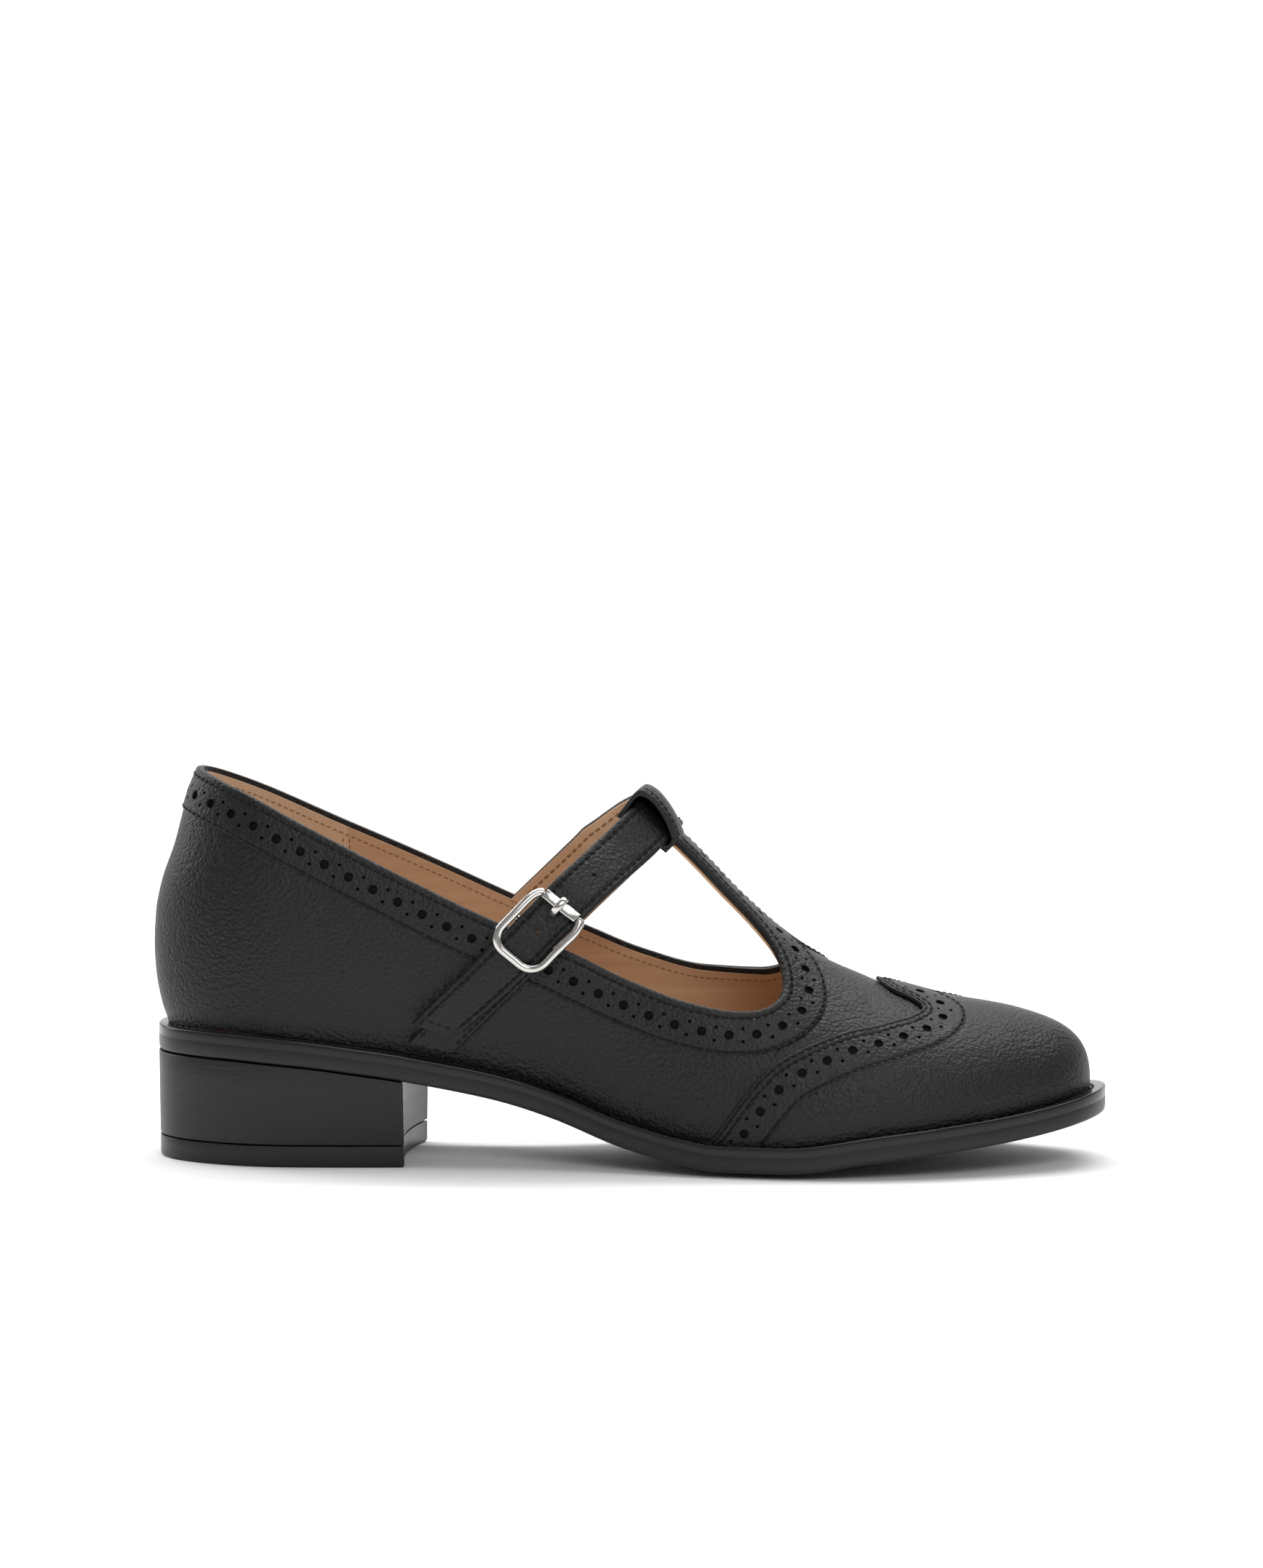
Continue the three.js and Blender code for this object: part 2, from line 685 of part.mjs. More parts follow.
function barPlace(f, row, side) {
  const rowShare = (station) => lerp(barShare(station, side), 1, row);
  let start = barTop - sectionStart;
  for (let i = 0; i < 12; i += 1) start = stationAcross(barEndAcross, rowShare(start), side);
  const station = lerp(start, throatStation, Math.sin(quarterTurn * f));
  return { station, t: rowShare(station) };
}

// The opening's bare edge as points, and how far a point of the last is from it
const behindStations = [
  ...steps(8).map((f) => f - 1),
  ...steps(13).slice(1).map((f) => f * (barTop - sectionStart)),
  ...steps(8).slice(1).map((f) => lerp(barTop, throatFront, Math.sin(quarterTurn * f)) - sectionStart),
];
const openingEdge = bothSides((side) => {
  const quarter = steps(120).map((f) => lerp(-1, throatStation, f ** 0.8));
  const bar = steps(40).map((f) => barPlace(f, 0, side));
  const points = quarter.map((station) => lastPoint(station, toplineShare(station, side), side));
  return [...points, ...bar.map(({ station, t }) => lastPoint(station, t, side))];
});
const toEdge = (p, side) => Math.min(...openingEdge[side].map((q) => p.distanceTo(q)));

// The share at which the collar's band ends on a column, below the edge or above it
function bandShare(station, side, start, end) {
  let inside = start;
  let outside = end;
  if (toEdge(lastPoint(station, outside, side), side) < bandWidth) return end;
  for (let i = 0; i < 24; i += 1) {
    const t = (inside + outside) / 2;
    if (toEdge(lastPoint(station, t, side), side) < bandWidth) inside = t;
    else outside = t;
  }
  return (inside + outside) / 2;
}

// Where the band's front edge stands on the vamp, in line with the corner of the opening
const bandFront = bothSides((side) => {
  let low = throatStation;
  let high = throatStation + 2 * bandWidth;
  for (let i = 0; i < 24; i += 1) {
    const station = (low + high) / 2;
    if (toEdge(lastPoint(station, throatShare[side], side), side) < bandWidth) low = station;
    else high = station;
  }
  return (low + high) / 2;
});

const lowerRows = steps(6);
const bandRows = steps(2);
const upperRows = steps(4);
const bandEnd = Math.max(...sides.map((side) => bandFront[side]));
const noseStations = steps(6).map((f) => lerp(throatStation, bandEnd, Math.sin(quarterTurn * f)));
const vampStations = steps(16).map((f) => lerp(bandEnd, lastTip - sectionStart, 1 - (1 - f) ** 2.2));
const aheadStations = [...noseStations, ...vampStations.slice(1)];

// One side of the upper: the outer face with the band's step, the inner face, and the bare edges
function sideOfUpper(side) {
  const seam = throatShare[side];
  const front = bandFront[side] - clearance;
  const nose = noseStations.slice(0, noseStations.findIndex((s) => s >= front) + 1);
  const zero = () => 0;
  const one = () => 1;
  const throat = () => seam;
  const top = (s) => (s >= throatStation ? seam : toplineShare(s, side));
  const low = (s) => (s >= front ? seam : bandShare(s, side, top(s), 0));
  const high = (s) => (s <= throatStation ? 1 : s >= front ? seam : bandShare(s, side, seam, 1));
  const whole = [...behindStations, ...aheadStations.slice(1)];
  const banded = [...behindStations, ...nose.slice(1)];
  const strip = (stations, from, to, rows, offset) => stations.map((s) => {
    return rows.map((f) => offLast(s, lerp(from(s), to(s), f), side, offset));
  });
  const face = (offset, raised) => [
    strip(whole, zero, low, lowerRows, offset),
    strip(banded, low, top, bandRows, raised),
    strip(nose, throat, high, upperRows, raised),
    strip(aheadStations, high, one, upperRows, offset),
    steps(8).map((f) => upperRows.map((row) => {
      const { station, t } = barPlace(f, row, side);
      return offLast(station, t, side, raised < 0 ? lerp(-barWall, raised, f ** 3) : raised);
    })),
  ];
  const outer = face(0, bandStep);
  const inner = face(-wall, -wall);
  const bare = (patch, j) => outer[patch].map((points, i) => [points.at(j), inner[patch][i].at(j)]);
  const foot = bare(0, 0);
  const collar = bare(1, -1).slice(0, behindStations.length);
  const barEdge = bare(4, 0);
  const barEnd = [outer[4][0], inner[4][0]];
  const step = (stations, t) => stations.map((s) => [0, bandStep].map((o) => offLast(s, t(s), side, o)));
  return [...outer, ...inner, foot, collar, barEdge, barEnd, step(banded, low), step(nose, high)];
}

const upper = () => closedSurface(sides.flatMap(sideOfUpper));

// The insole's plate lies inside the wall, and its filling step lies inside the welt
function insole() {
  const inset = wall + clearance + insoleEase;
  const plate = insetRim(featherBack + inset, featherSide + inset, featherToe + inset);
  const fillInset = weltRingWidth + clearance;
  const fill = insetRim(fillInset, fillInset, fillInset);
  const across = [0, 0.2, 0.5, 0.8, 1];
  const top = sheet(plate, onLayer(featherLevel), onLayer(featherLevel + insoleThickness), across);
  const low = sheet(fill, onLayer(weltBase), onLayer(featherLevel + insoleThickness / 2), across);
  return geometryOf(solidOf(closedSurface(top)).add(solidOf(closedSurface(low))));
}

function wingCap() {
  const wingAt = column(wingLine, 'at', 'up');
  const inner = clearance * 1.6;
  const outer = inner + capThickness;
  const columns = steps(18).map((f) => 1 - (1 - f) ** 1.8);
  const rows = wingLine.map((row) => row.up);
  const place = (f, t, side, offset) => {
    const station = lerp(along(wingAt(t)), lastTip, f) - sectionStart;
    return offLast(station, t, side, offset);
  };
  const patches = sides.flatMap((side) => {
    const face = (offset) => columns.map((f) => rows.map((t) => place(f, t, side, offset)));
    const [out, back] = [face(outer), face(inner)];
    const foot = out.map((points, i) => [points[0], back[i][0]]);
    return [out, back, foot, [out[0], back[0]]];
  });
  return closedSurface(patches);
}

// The strap's line over the last: its curve at several distances across, measured from the ridge.
// Positive lengths run down the outer side to the tip.
const strapPlanes = steps(8).map((f) => strapHalfWidth * lerp(-2.2, 1.6, f));
const strapCurves = strapPlanes.map((across) => {
  const turns = steps(60).map((f) => lerp(-0.75, 0.97, f));
  const spot = (turn) => {
    const side = turn < 0 ? innerSide : outerSide;
    const t = 1 - Math.abs(turn);
    return lastPoint(stationAcross(across, t, side), t, side);
  };
  const points = turns.map(spot);
  const lengths = [0];
  points.slice(1).forEach((p, i) => lengths.push(lengths[i] + p.distanceTo(points[i])));
  const toTurn = curveThrough(lengths, turns);
  const toLength = curveThrough(turns, lengths);
  return (length) => toTurn(length + toLength(0));
});

function strapSpot(length, across) {
  const place = clamp((across - strapPlanes[0]) / (strapPlanes[1] - strapPlanes[0]), 0, strapPlanes.length - 1.001);
  const k = Math.floor(place);
  const turn = lerp(strapCurves[k](length), strapCurves[k + 1](length), place - k);
  const side = turn < 0 ? innerSide : outerSide;
  const t = 1 - Math.abs(turn);
  return { station: stationAcross(across, t, side), t, side };
}

function strapPoint(length, across, offset) {
  const { station, t, side } = strapSpot(length, across);
  return offLast(station, t, side, offset);
}

// The length at which the strap's line passes a test, found by halving
function strapLength(across, low, high, isPast) {
  let [from, to] = [low, high];
  for (let i = 0; i < 24; i += 1) {
    const length = (from + to) / 2;
    const { station, t, side } = strapSpot(length, across);
    if (isPast(lastPoint(station, t, side))) to = length;
    else from = length;
  }
  return (from + to) / 2;
}

const buckleLength = strapLength(0, 0, soleLength / 2, (p) => upOf(p) < 0);
const strapEdge = { rear: column(strapEdges, 'rear', 'from'), front: column(strapEdges, 'front', 'from') };
const strapStandAt = column(strapStand, 'lift', 'from');
const strapUnder = (length) => strapLift * strapStandAt((length - buckleLength) / strapTipReach);

// A point of the strap by its distance from the buckle's centre, and its share of the width there
function acrossAt(fromBuckle, v) {
  const from = fromBuckle / strapTipReach;
  return strapHalfWidth * lerp(-strapEdge.rear(from), strapEdge.front(from), v);
}

function strapBlank() {
  const across = [0, 0.25, 0.5, 0.75, 1];
  const columns = steps(36);
  const rootAt = (v) => {
    let length = -strapTipReach;
    for (let i = 0; i < 4; i += 1) {
      const c = acrossAt(length - buckleLength, v);
      length = strapLength(c, -soleLength / 4, 0, (p) => p.z > toplineHeight(p.x, innerSide) + clearance);
    }
    return length;
  };
  const tipAt = (v) => {
    const corner = Math.max(0, v - 0.75) / 0.25;
    return buckleLength + strapTipReach - strapTipSlant * v - strapTipCorner * corner;
  };
  const ends = across.map((v) => [rootAt(v), tipAt(v)]);
  const face = (lift) => columns.map((f) => across.map((v, j) => {
    const length = lerp(ends[j][0], ends[j][1], f);
    return strapPoint(length, acrossAt(length - buckleLength, v), strapUnder(length) + lift);
  }));
  const [top, under] = [face(strapThickness), face(0)];
  const edges = [0, across.length - 1].map((j) => top.map((points, i) => [points[j], under[i][j]]));
  return closedSurface([top, under, ...edges, [top[0], under[0]], [top.at(-1), under.at(-1)]]);
}

// A solid that follows the strap: loops of (length from the buckle, across, offset)
const alongStrap = (loops, closed = false) => loft(loops.map((loop) => loop.map(([length, across, offset]) => {
  return strapPoint(buckleLength + length, across, offset);
})), closed);

const strapTop = strapLift + strapThickness;
const frameBase = strapTop + clearance;
const barPlaceUp = -(frameLength - wireWidth) / 2;
const rollerMiddle = frameBase + rollerSide / 2;
const holeFromBuckle = barPlaceUp - rollerSide / 2 - clearance - prongThickness / 2;

function strap() {
  const hole = alongStrap([-1, 1].map((end) => steps(12).slice(1).map((f) => {
    const turn = 4 * quarterTurn * f;
    const [a, b] = [Math.cos(turn), Math.sin(turn)].map((v) => (v * prongHole) / 2);
    return [holeFromBuckle + a, b, strapLift + strapThickness / 2 + end * strapThickness];
  })));
  return geometryOf(solidOf(strapBlank()).subtract(solidOf(hole)));
}

// The under-strap runs from the sole to the buckle's bar, a little ahead of the strap
const lugBase = bandStep + clearance;
const barCentre = lugBase + lugRise + barDiameter / 2;

function buckleTab() {
  const across = [-1, -0.5, 0, 0.5, 1].map((v) => tabShift + (v * tabWidth) / 2);
  const start = barDiameter + clearance;
  const ends = across.map((c) => strapLength(c, buckleLength, soleLength / 2, (p) => {
    return p.z < featherHeight(p.x, p.y) + tabFoot;
  }));
  const face = (offset) => steps(16).map((f) => across.map((c, j) => {
    return strapPoint(lerp(buckleLength + start, ends[j], f), c, offset);
  }));
  const base = bandStep + clearance;
  const [top, under] = [face(base + tabThickness), face(base)];
  const edges = [0, across.length - 1].map((j) => top.map((points, i) => [points[j], under[i][j]]));
  return closedSurface([top, under, ...edges, [top[0], under[0]], [top.at(-1), under.at(-1)]]);
}

// The frame's wire round its path, thinner inside the roller, with a bar under the strap
function buckleFrame() {
  const half = { along: (frameLength - wireWidth) / 2, across: (frameWidth - wireWidth) / 2 };
  const radius = frameCorner - wireWidth / 2;
  const corner = (signAlong, signAcross, from) => steps(4).map((f) => {
    const turn = quarterTurn * (from + f);
    const reach = signAlong < 0 ? rollerCorner - wireWidth / 2 : radius;
    const centre = [signAlong * (half.along - radius), signAcross * (half.across - reach)];
    const [a, b] = [Math.cos(turn), Math.sin(turn)];
    const size = Math.hypot(a / radius, b / reach);
    return { at: [centre[0] + radius * a, centre[1] + reach * b], normal: [a / radius / size, b / reach / size] };
  });
  const straight = (from, to, normal, count) => steps(count).slice(1, -1).map((f) => {
    return { at: [lerp(from[0], to[0], f), lerp(from[1], to[1], f)], normal };
  });
  const barEnds = half.across - radius;
  const rollerEnds = half.across - (rollerCorner - wireWidth / 2);
  const rail = (turn) => [0.9, 0.6, -0.6, -0.9].map((share) => {
    return { at: [turn * share * barDiameter, turn * half.across], normal: [0, turn], deep: Math.abs(share) < 0.7 };
  });
  const path = [
    ...corner(1, 1, 0), ...rail(1),
    ...corner(-1, 1, 1), ...straight([-half.along, rollerEnds], [-half.along, -rollerEnds], [-1, 0], 4),
    ...corner(-1, -1, 2), ...rail(-1),
    ...corner(1, -1, 3), ...straight([half.along, -barEnds], [half.along, barEnds], [1, 0], 3),
  ];
  const slack = rollerWall + clearance;
  const loops = path.map(({ at, normal, deep }) => {
    const inRoller = at[0] < -half.along + 0.01 && Math.abs(at[1]) < rollerEnds + 0.01;
    const width = inRoller ? rollerSide - 2 * slack : wireWidth;
    const low = inRoller ? frameBase + slack : frameBase;
    const foot = deep ? lugBase : low;
    const high = inRoller ? low + width : frameBase + wireThickness;
    const brow = high - wireThickness / 3;
    const out = (w, offset) => [at[0] + normal[0] * w, at[1] + normal[1] * w, offset];
    return [out(-width / 2, foot), out(-width / 2, brow), out(0, high), out(width / 2, brow), out(width / 2, foot)];
  });
  const ring = solidOf(alongStrap(loops, true));
  const barHalf = frameWidth / 2 - wireWidth / 3;
  const bar = alongStrap(steps(6).map((f) => steps(8).slice(1).map((g) => {
    const turn = 4 * quarterTurn * g;
    const [a, b] = [Math.cos(turn), Math.sin(turn)].map((v) => (v * barDiameter) / 2);
    return [a, lerp(-barHalf, barHalf, f), barCentre + b];
  })));
  return geometryOf(ring.add(solidOf(bar)));
}

function squareLoop(half, across) {
  return [[-1, -1], [1, -1], [1, 1], [-1, 1]].map(([a, b]) => [barPlaceUp + a * half, across, rollerMiddle + b * half]);
}

function buckleRoller() {
  const stops = steps(4).map((f) => lerp(-rollerLength / 2, rollerLength / 2, f));
  const skin = solidOf(alongStrap(stops.map((across) => squareLoop(rollerSide / 2, across))));
  const beyond = stops.map((across) => across * 1.1);
  const bore = solidOf(alongStrap(beyond.map((across) => squareLoop(rollerSide / 2 - rollerWall, across))));
  return geometryOf(skin.subtract(bore));
}

// The prong rises from its hole, crosses over the roller and comes down to the strap inside the frame
function buckleProng() {
  const inner = rollerSide / 2 + clearance;
  const outer = inner + prongThickness;
  const profile = [
    { along: -1, up: -2.3, inside: -1, below: -2.3 },
    { along: -1, up: 0.6, inside: -1, below: 0.6 },
    { along: -0.75, up: 1, inside: -1, below: 1 },
    { along: 0.75, up: 1, inside: 1, below: 1 },
    { along: 1.2, up: 0.35, inside: 1, below: -0.1 },
    { along: 1.75, up: -0.55, inside: 1.5, below: -0.8 },
  ];
  const loops = profile.map(({ along: a, up, inside, below }) => [
    [barPlaceUp + outer * a, -prongWidth / 2, rollerMiddle + outer * up],
    [barPlaceUp + outer * a, prongWidth / 2, rollerMiddle + outer * up],
    [barPlaceUp + inner * inside, prongWidth / 2, rollerMiddle + inner * below],
    [barPlaceUp + inner * inside, -prongWidth / 2, rollerMiddle + inner * below],
  ]);
  return alongStrap(loops);
}

// The loop: a stiff sleeve that bulges over the strap and lies close under it
function strapLoop() {
  const crest = upOf(lastPoint(strapSpot(0, 0).station, 1, outerSide));
  const reach = loopLength * 1.5;
  const underStrap = (across, y, depth) => {
    const spot = (length) => strapPoint(length, across, strapUnder(length) - depth);
    let [near, far] = [0, y < 0 ? reach : -reach];
    for (let i = 0; i < 24; i += 1) {
      const length = (near + far) / 2;
      if (Math.abs(spot(length).y) > Math.abs(y)) far = length;
      else near = length;
    }
    return upOf(spot(near));
  };
  const loopAt = (y, narrower, depth) => {
    const half = loopWidth / 2 - narrower;
    const place = (at, across, up) => point(0, at, 0).add(buckleSpot)
      .addScaledVector(strapAcross, across).addScaledVector(strapUp, up);
    const droop = (2 * y / loopLength) ** 2;
    const arch = loopArch.map((row) => {
      return place(y, row.across * half, crest + row.rise * loopRise - narrower - loopDroop * droop);
    });
    const low = [...loopArch].reverse().map((row) => {
      const inner = y * loopFloorShare;
      return place(inner, row.across * half, underStrap(row.across * half, inner, depth));
    });
    return [...arch, ...low];
  };
  const stops = steps(6).map((f) => lerp(-loopLength / 2, loopLength / 2, f));
  const skin = stops.map((y) => loopAt(y, 0, clearance + loopWall));
  const bore = stops.map((y) => loopAt(y * 1.04, loopWall, clearance));
  return geometryOf(solidOf(loft(skin)).subtract(solidOf(loft(bore))));
}

// Materials, one for each finish
const finish = (color, roughness, metalness = 0) => new THREE.MeshStandardMaterial({ color, roughness, metalness });
const blackLeather = finish('#1d1d1f', 0.5);
const soleBlack = finish('#232324', 0.55);
const tanLeather = finish('#b68d68', 0.6);
const silver = finish('#d8d6d0', 0.18, 1);

const shoe = new THREE.Group();
const addPiece = (name, geometry, material) => {
  const mesh = new THREE.Mesh(geometry, material);
  mesh.name = name;
  shoe.add(mesh);
};

addPiece('outsole', outsole(), soleBlack);
addPiece('welt', welt(), soleBlack);
addPiece('heel_block', heelBlock(), soleBlack);
addPiece('heel_top_piece', heelTopPiece(), soleBlack);
addPiece('insole', insole(), tanLeather);
addPiece('upper', upper(), blackLeather);
addPiece('wing_cap', wingCap(), blackLeather);
addPiece('strap_loop', strapLoop(), blackLeather);
addPiece('strap', strap(), blackLeather);
addPiece('buckle_tab', buckleTab(), blackLeather);
addPiece('buckle_frame', buckleFrame(), silver);
addPiece('buckle_roller', buckleRoller(), silver);
addPiece('buckle_prong', buckleProng(), silver);

export default shoe;
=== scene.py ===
import bisect
import functools
import math

import bmesh
import bpy
from mathutils import Matrix, Vector, kdtree


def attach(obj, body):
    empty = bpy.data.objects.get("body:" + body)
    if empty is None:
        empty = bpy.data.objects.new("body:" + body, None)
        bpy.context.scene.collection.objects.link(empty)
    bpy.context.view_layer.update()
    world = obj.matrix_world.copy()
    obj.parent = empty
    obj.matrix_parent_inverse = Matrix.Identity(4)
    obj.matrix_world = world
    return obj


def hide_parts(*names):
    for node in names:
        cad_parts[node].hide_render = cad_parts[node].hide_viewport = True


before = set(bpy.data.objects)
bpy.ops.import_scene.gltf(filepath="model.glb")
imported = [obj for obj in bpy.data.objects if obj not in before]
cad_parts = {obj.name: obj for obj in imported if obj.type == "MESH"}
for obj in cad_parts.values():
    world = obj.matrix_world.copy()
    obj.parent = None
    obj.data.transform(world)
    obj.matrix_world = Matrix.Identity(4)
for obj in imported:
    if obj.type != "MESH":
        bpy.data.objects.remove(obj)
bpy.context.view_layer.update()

# ---- Studio
# A sheet of white paper swept under the shoe, lit by large soft boxes. The paper is matt, so the
# shoe leaves only a soft grey shadow round its sole.


def linear(hex_colour):
    """An sRGB hex colour as linear red, green, blue and alpha."""
    parts = [int(hex_colour[i:i + 2], 16) / 255 for i in (1, 3, 5)]
    return [p / 12.92 if p <= 0.04045 else ((p + 0.055) / 1.055) ** 2.4 for p in parts] + [1.0]


def add(material, kind, inputs=None, **settings):
    """Adds a shader node with its settings, its input values and the sockets linked to it."""
    node = material.node_tree.nodes.new("ShaderNode" + kind)
    for name, value in settings.items():
        setattr(node, name, value)
    for name, value in (inputs or {}).items():
        if isinstance(value, bpy.types.NodeSocket):
            material.node_tree.links.new(value, node.inputs[name])
        else:
            node.inputs[name].default_value = value
    return node


def new_material(name):
    """An empty node material."""
    material = bpy.data.materials.new(name)
    material.use_nodes = True
    material.node_tree.nodes.clear()
    return material


def noise(material, place, scale, detail):
    """A noise texture's value."""
    return add(material, "TexNoise", {"Vector": place, "Scale": scale, "Detail": detail}).outputs[0]


def blend(material, factor, dark, light):
    """A colour between two, by a factor."""
    ends = {"Factor": factor, "A": linear(dark), "B": linear(light)}
    return add(material, "Mix", ends, data_type="RGBA").outputs["Result"]


def show(material, surface):
    """Gives the material a surface with these inputs."""
    shader = add(material, "BsdfPrincipled", surface)
    output = add(material, "OutputMaterial")
    material.node_tree.links.new(shader.outputs[0], output.inputs["Surface"])


# Backdrop paper, uncoated and rolled: matt white with a hardly visible fibre.
backdrop_paper = new_material("backdrop_paper")
place = add(backdrop_paper, "TexCoord").outputs["Object"]
fibre = noise(backdrop_paper, place, 1 / 0.004, 3.0)
tone = blend(backdrop_paper, fibre, "#f6f6f5", "#fbfbfa")
show(backdrop_paper, {"Base Color": tone, "Roughness": 0.9})

floor_sheet = bmesh.new()
sweep_start, sweep_radius = 1.6, 1.1
sheet_grid = bmesh.ops.create_grid(floor_sheet, x_segments=8, y_segments=60, size=4.0)
for vertex in sheet_grid["verts"]:
    run = vertex.co.y + 1.0
    turn = max(0.0, min(math.pi / 2, (run - sweep_start) / sweep_radius))
    rest = max(0.0, run - sweep_start - sweep_radius * math.pi / 2)
    vertex.co.y = min(run, sweep_start) + sweep_radius * math.sin(turn)
    vertex.co.z = sweep_radius * (1 - math.cos(turn)) + rest
floor_mesh = bpy.data.meshes.new("floor_paper")
floor_sheet.to_mesh(floor_mesh)
floor_sheet.free()
floor_mesh.materials.append(backdrop_paper)
floor_mesh.shade_smooth()
floor = bpy.data.objects.new("floor_paper", floor_mesh)
bpy.context.scene.collection.objects.link(floor)

camera_azimuth, camera_height, camera_distance = math.radians(5.2), math.radians(4.8), 1.5
target = Vector((0.0988, 0.0, 0.1042))
away = Vector((math.sin(camera_azimuth) * math.cos(camera_height),
               -math.cos(camera_azimuth) * math.cos(camera_height), math.sin(camera_height)))
camera_data = bpy.data.cameras.new("camera")
camera_data.sensor_fit = "VERTICAL"
camera_data.sensor_height = 36
camera_data.lens = 124.49
camera_data.clip_start = 0.05
camera = bpy.data.objects.new("camera", camera_data)
camera.location = target + away * camera_distance
camera.rotation_euler = (-away).to_track_quat("-Z", "Y").to_euler()
bpy.context.scene.collection.objects.link(camera)
bpy.context.scene.camera = camera


def soft_box(name, place, size, power, towards=(0.1, 0.0, 0.05)):
    """An area light that faces the shoe."""
    light = bpy.data.lights.new(name, "AREA")
    light.shape = "RECTANGLE"
    light.size, light.size_y = size
    light.energy = power
    lamp = bpy.data.objects.new(name, light)
    lamp.location = place
    lamp.rotation_euler = (Vector(towards) - Vector(place)).to_track_quat("-Z", "Y").to_euler()
    bpy.context.scene.collection.objects.link(lamp)


soft_box("overhead_box", (0.1, 0.25, 1.4), (1.7, 1.2), 16)
soft_box("backdrop_box", (0.1, 0.9, 2.2), (3.0, 0.8), 60, towards=(0.1, 2.6, 0.6))
soft_box("rear_left_box", (-1.2, 0.5, 0.7), (0.5, 0.9), 7)
soft_box("front_right_box", (1.2, -0.2, 0.9), (0.5, 0.6), 0.8)
soft_box("camera_side_box", (0.45, -1.25, 0.85), (0.8, 0.5), 6.5)

world = bpy.data.worlds.new("white_room")
world.use_nodes = True
world.node_tree.nodes["Background"].inputs["Color"].default_value = linear("#ffffff")
world.node_tree.nodes["Background"].inputs["Strength"].default_value = 0.3
bpy.context.scene.world = world
bpy.context.scene.view_settings.view_transform = "Standard"

# ---- Outsole
# The outsole is a plate of black resin rubber about 4 mm thick, cut to the last's plan and trimmed
# with a lightly rounded edge. It rises in the waist over the heel and springs at the toe.
sole_length = 263.5
heel_overhang = 33.5
seat_width, ball_width = 61, 85.5
seat_radius, toe_radius, toe_drift = 31, 29, 8
heel_height, toe_spring = 30, 14
tread_camber, camber_reach = 1.7, 18
outsole_thickness = 3.9
clearance = 0.3
merge_distance = 0.004
outer_side, inner_side = -1, 1
quarter_turn = math.pi / 2

# at, outer half width, inner half width, of which width
sole_outline = [
    (0.04, 0.35, 0.35, seat_width), (0.12, 0.495, 0.495, seat_width), (0.20, 0.49, 0.485, seat_width),
    (0.30, 0.445, 0.43, seat_width), (0.40, 0.305, 0.29, ball_width), (0.50, 0.355, 0.355, ball_width),
    (0.60, 0.425, 0.465, ball_width), (0.68, 0.45, 0.535, ball_width), (0.76, 0.435, 0.555, ball_width),
    (0.84, 0.37, 0.52, ball_width), (0.92, 0.245, 0.415, ball_width),
]
# at, height, of which height, share of the camber
underside = [
    (0.00, 1.00, heel_height, 0), (0.08, 0.99, heel_height, 0), (0.16, 0.94, heel_height, 0),
    (0.23, 0.86, heel_height, 0), (0.27, 0.805, heel_height, 0), (0.37, 0.60, heel_height, 0.6),
    (0.43, 0.43, heel_height, 0.8), (0.50, 0.19, heel_height, 1), (0.56, 0.055, heel_height, 1),
    (0.605, 0, toe_spring, 1), (0.675, 0, toe_spring, 1), (0.76, 0.215, toe_spring, 0.95),
    (0.84, 0.415, toe_spring, 0.75), (0.92, 0.65, toe_spring, 0.4), (1.00, 1.00, toe_spring, 0),
]


def lerp(a, b, f):
    """The value a share f of the way from a to b."""
    return a + (b - a) * f


def clamp(x, low, high):
    return max(low, min(high, x))


def along(at):
    """Millimetres from the frame's origin at a share of the sole's length, and share() the reverse."""
    return at * sole_length - heel_overhang


def share(x):
    return (x + heel_overhang) / sole_length


def curve_through(xs, ys):
    """A smooth curve through a table, which never swings past its rows."""
    last = len(xs) - 1
    rise = [(ys[i + 1] - ys[i]) / (xs[i + 1] - xs[i]) for i in range(last)]
    slope = [rise[0]]
    for before, after in zip(rise, rise[1:]):
        slope.append(0 if before * after <= 0 else 2 * before * after / (before + after))
    slope.append(rise[-1])

    def value(x):
        i = clamp(bisect.bisect_left(xs, x) - 1, 0, last - 1)
        span = xs[i + 1] - xs[i]
        f = clamp((x - xs[i]) / span, 0, 1)
        start, end = (1 + 2 * f) * (1 - f) ** 2, f * f * (3 - 2 * f)
        leave, arrive = f * (1 - f) ** 2, f * f * (f - 1)
        return start * ys[i] + end * ys[i + 1] + span * (leave * slope[i] + arrive * slope[i + 1])
    return value


def curve_of(table, column):
    """The smooth curve of a table's column over its first one."""
    return curve_through([row[0] for row in table], [row[column] for row in table])


def halve(low, high, is_past, steps=22):
    """The value between two others at which a test turns true, found by halving."""
    for _ in range(steps):
        middle = (low + high) / 2
        if is_past(middle):
            high = middle
        else:
            low = middle
    return (low + high) / 2


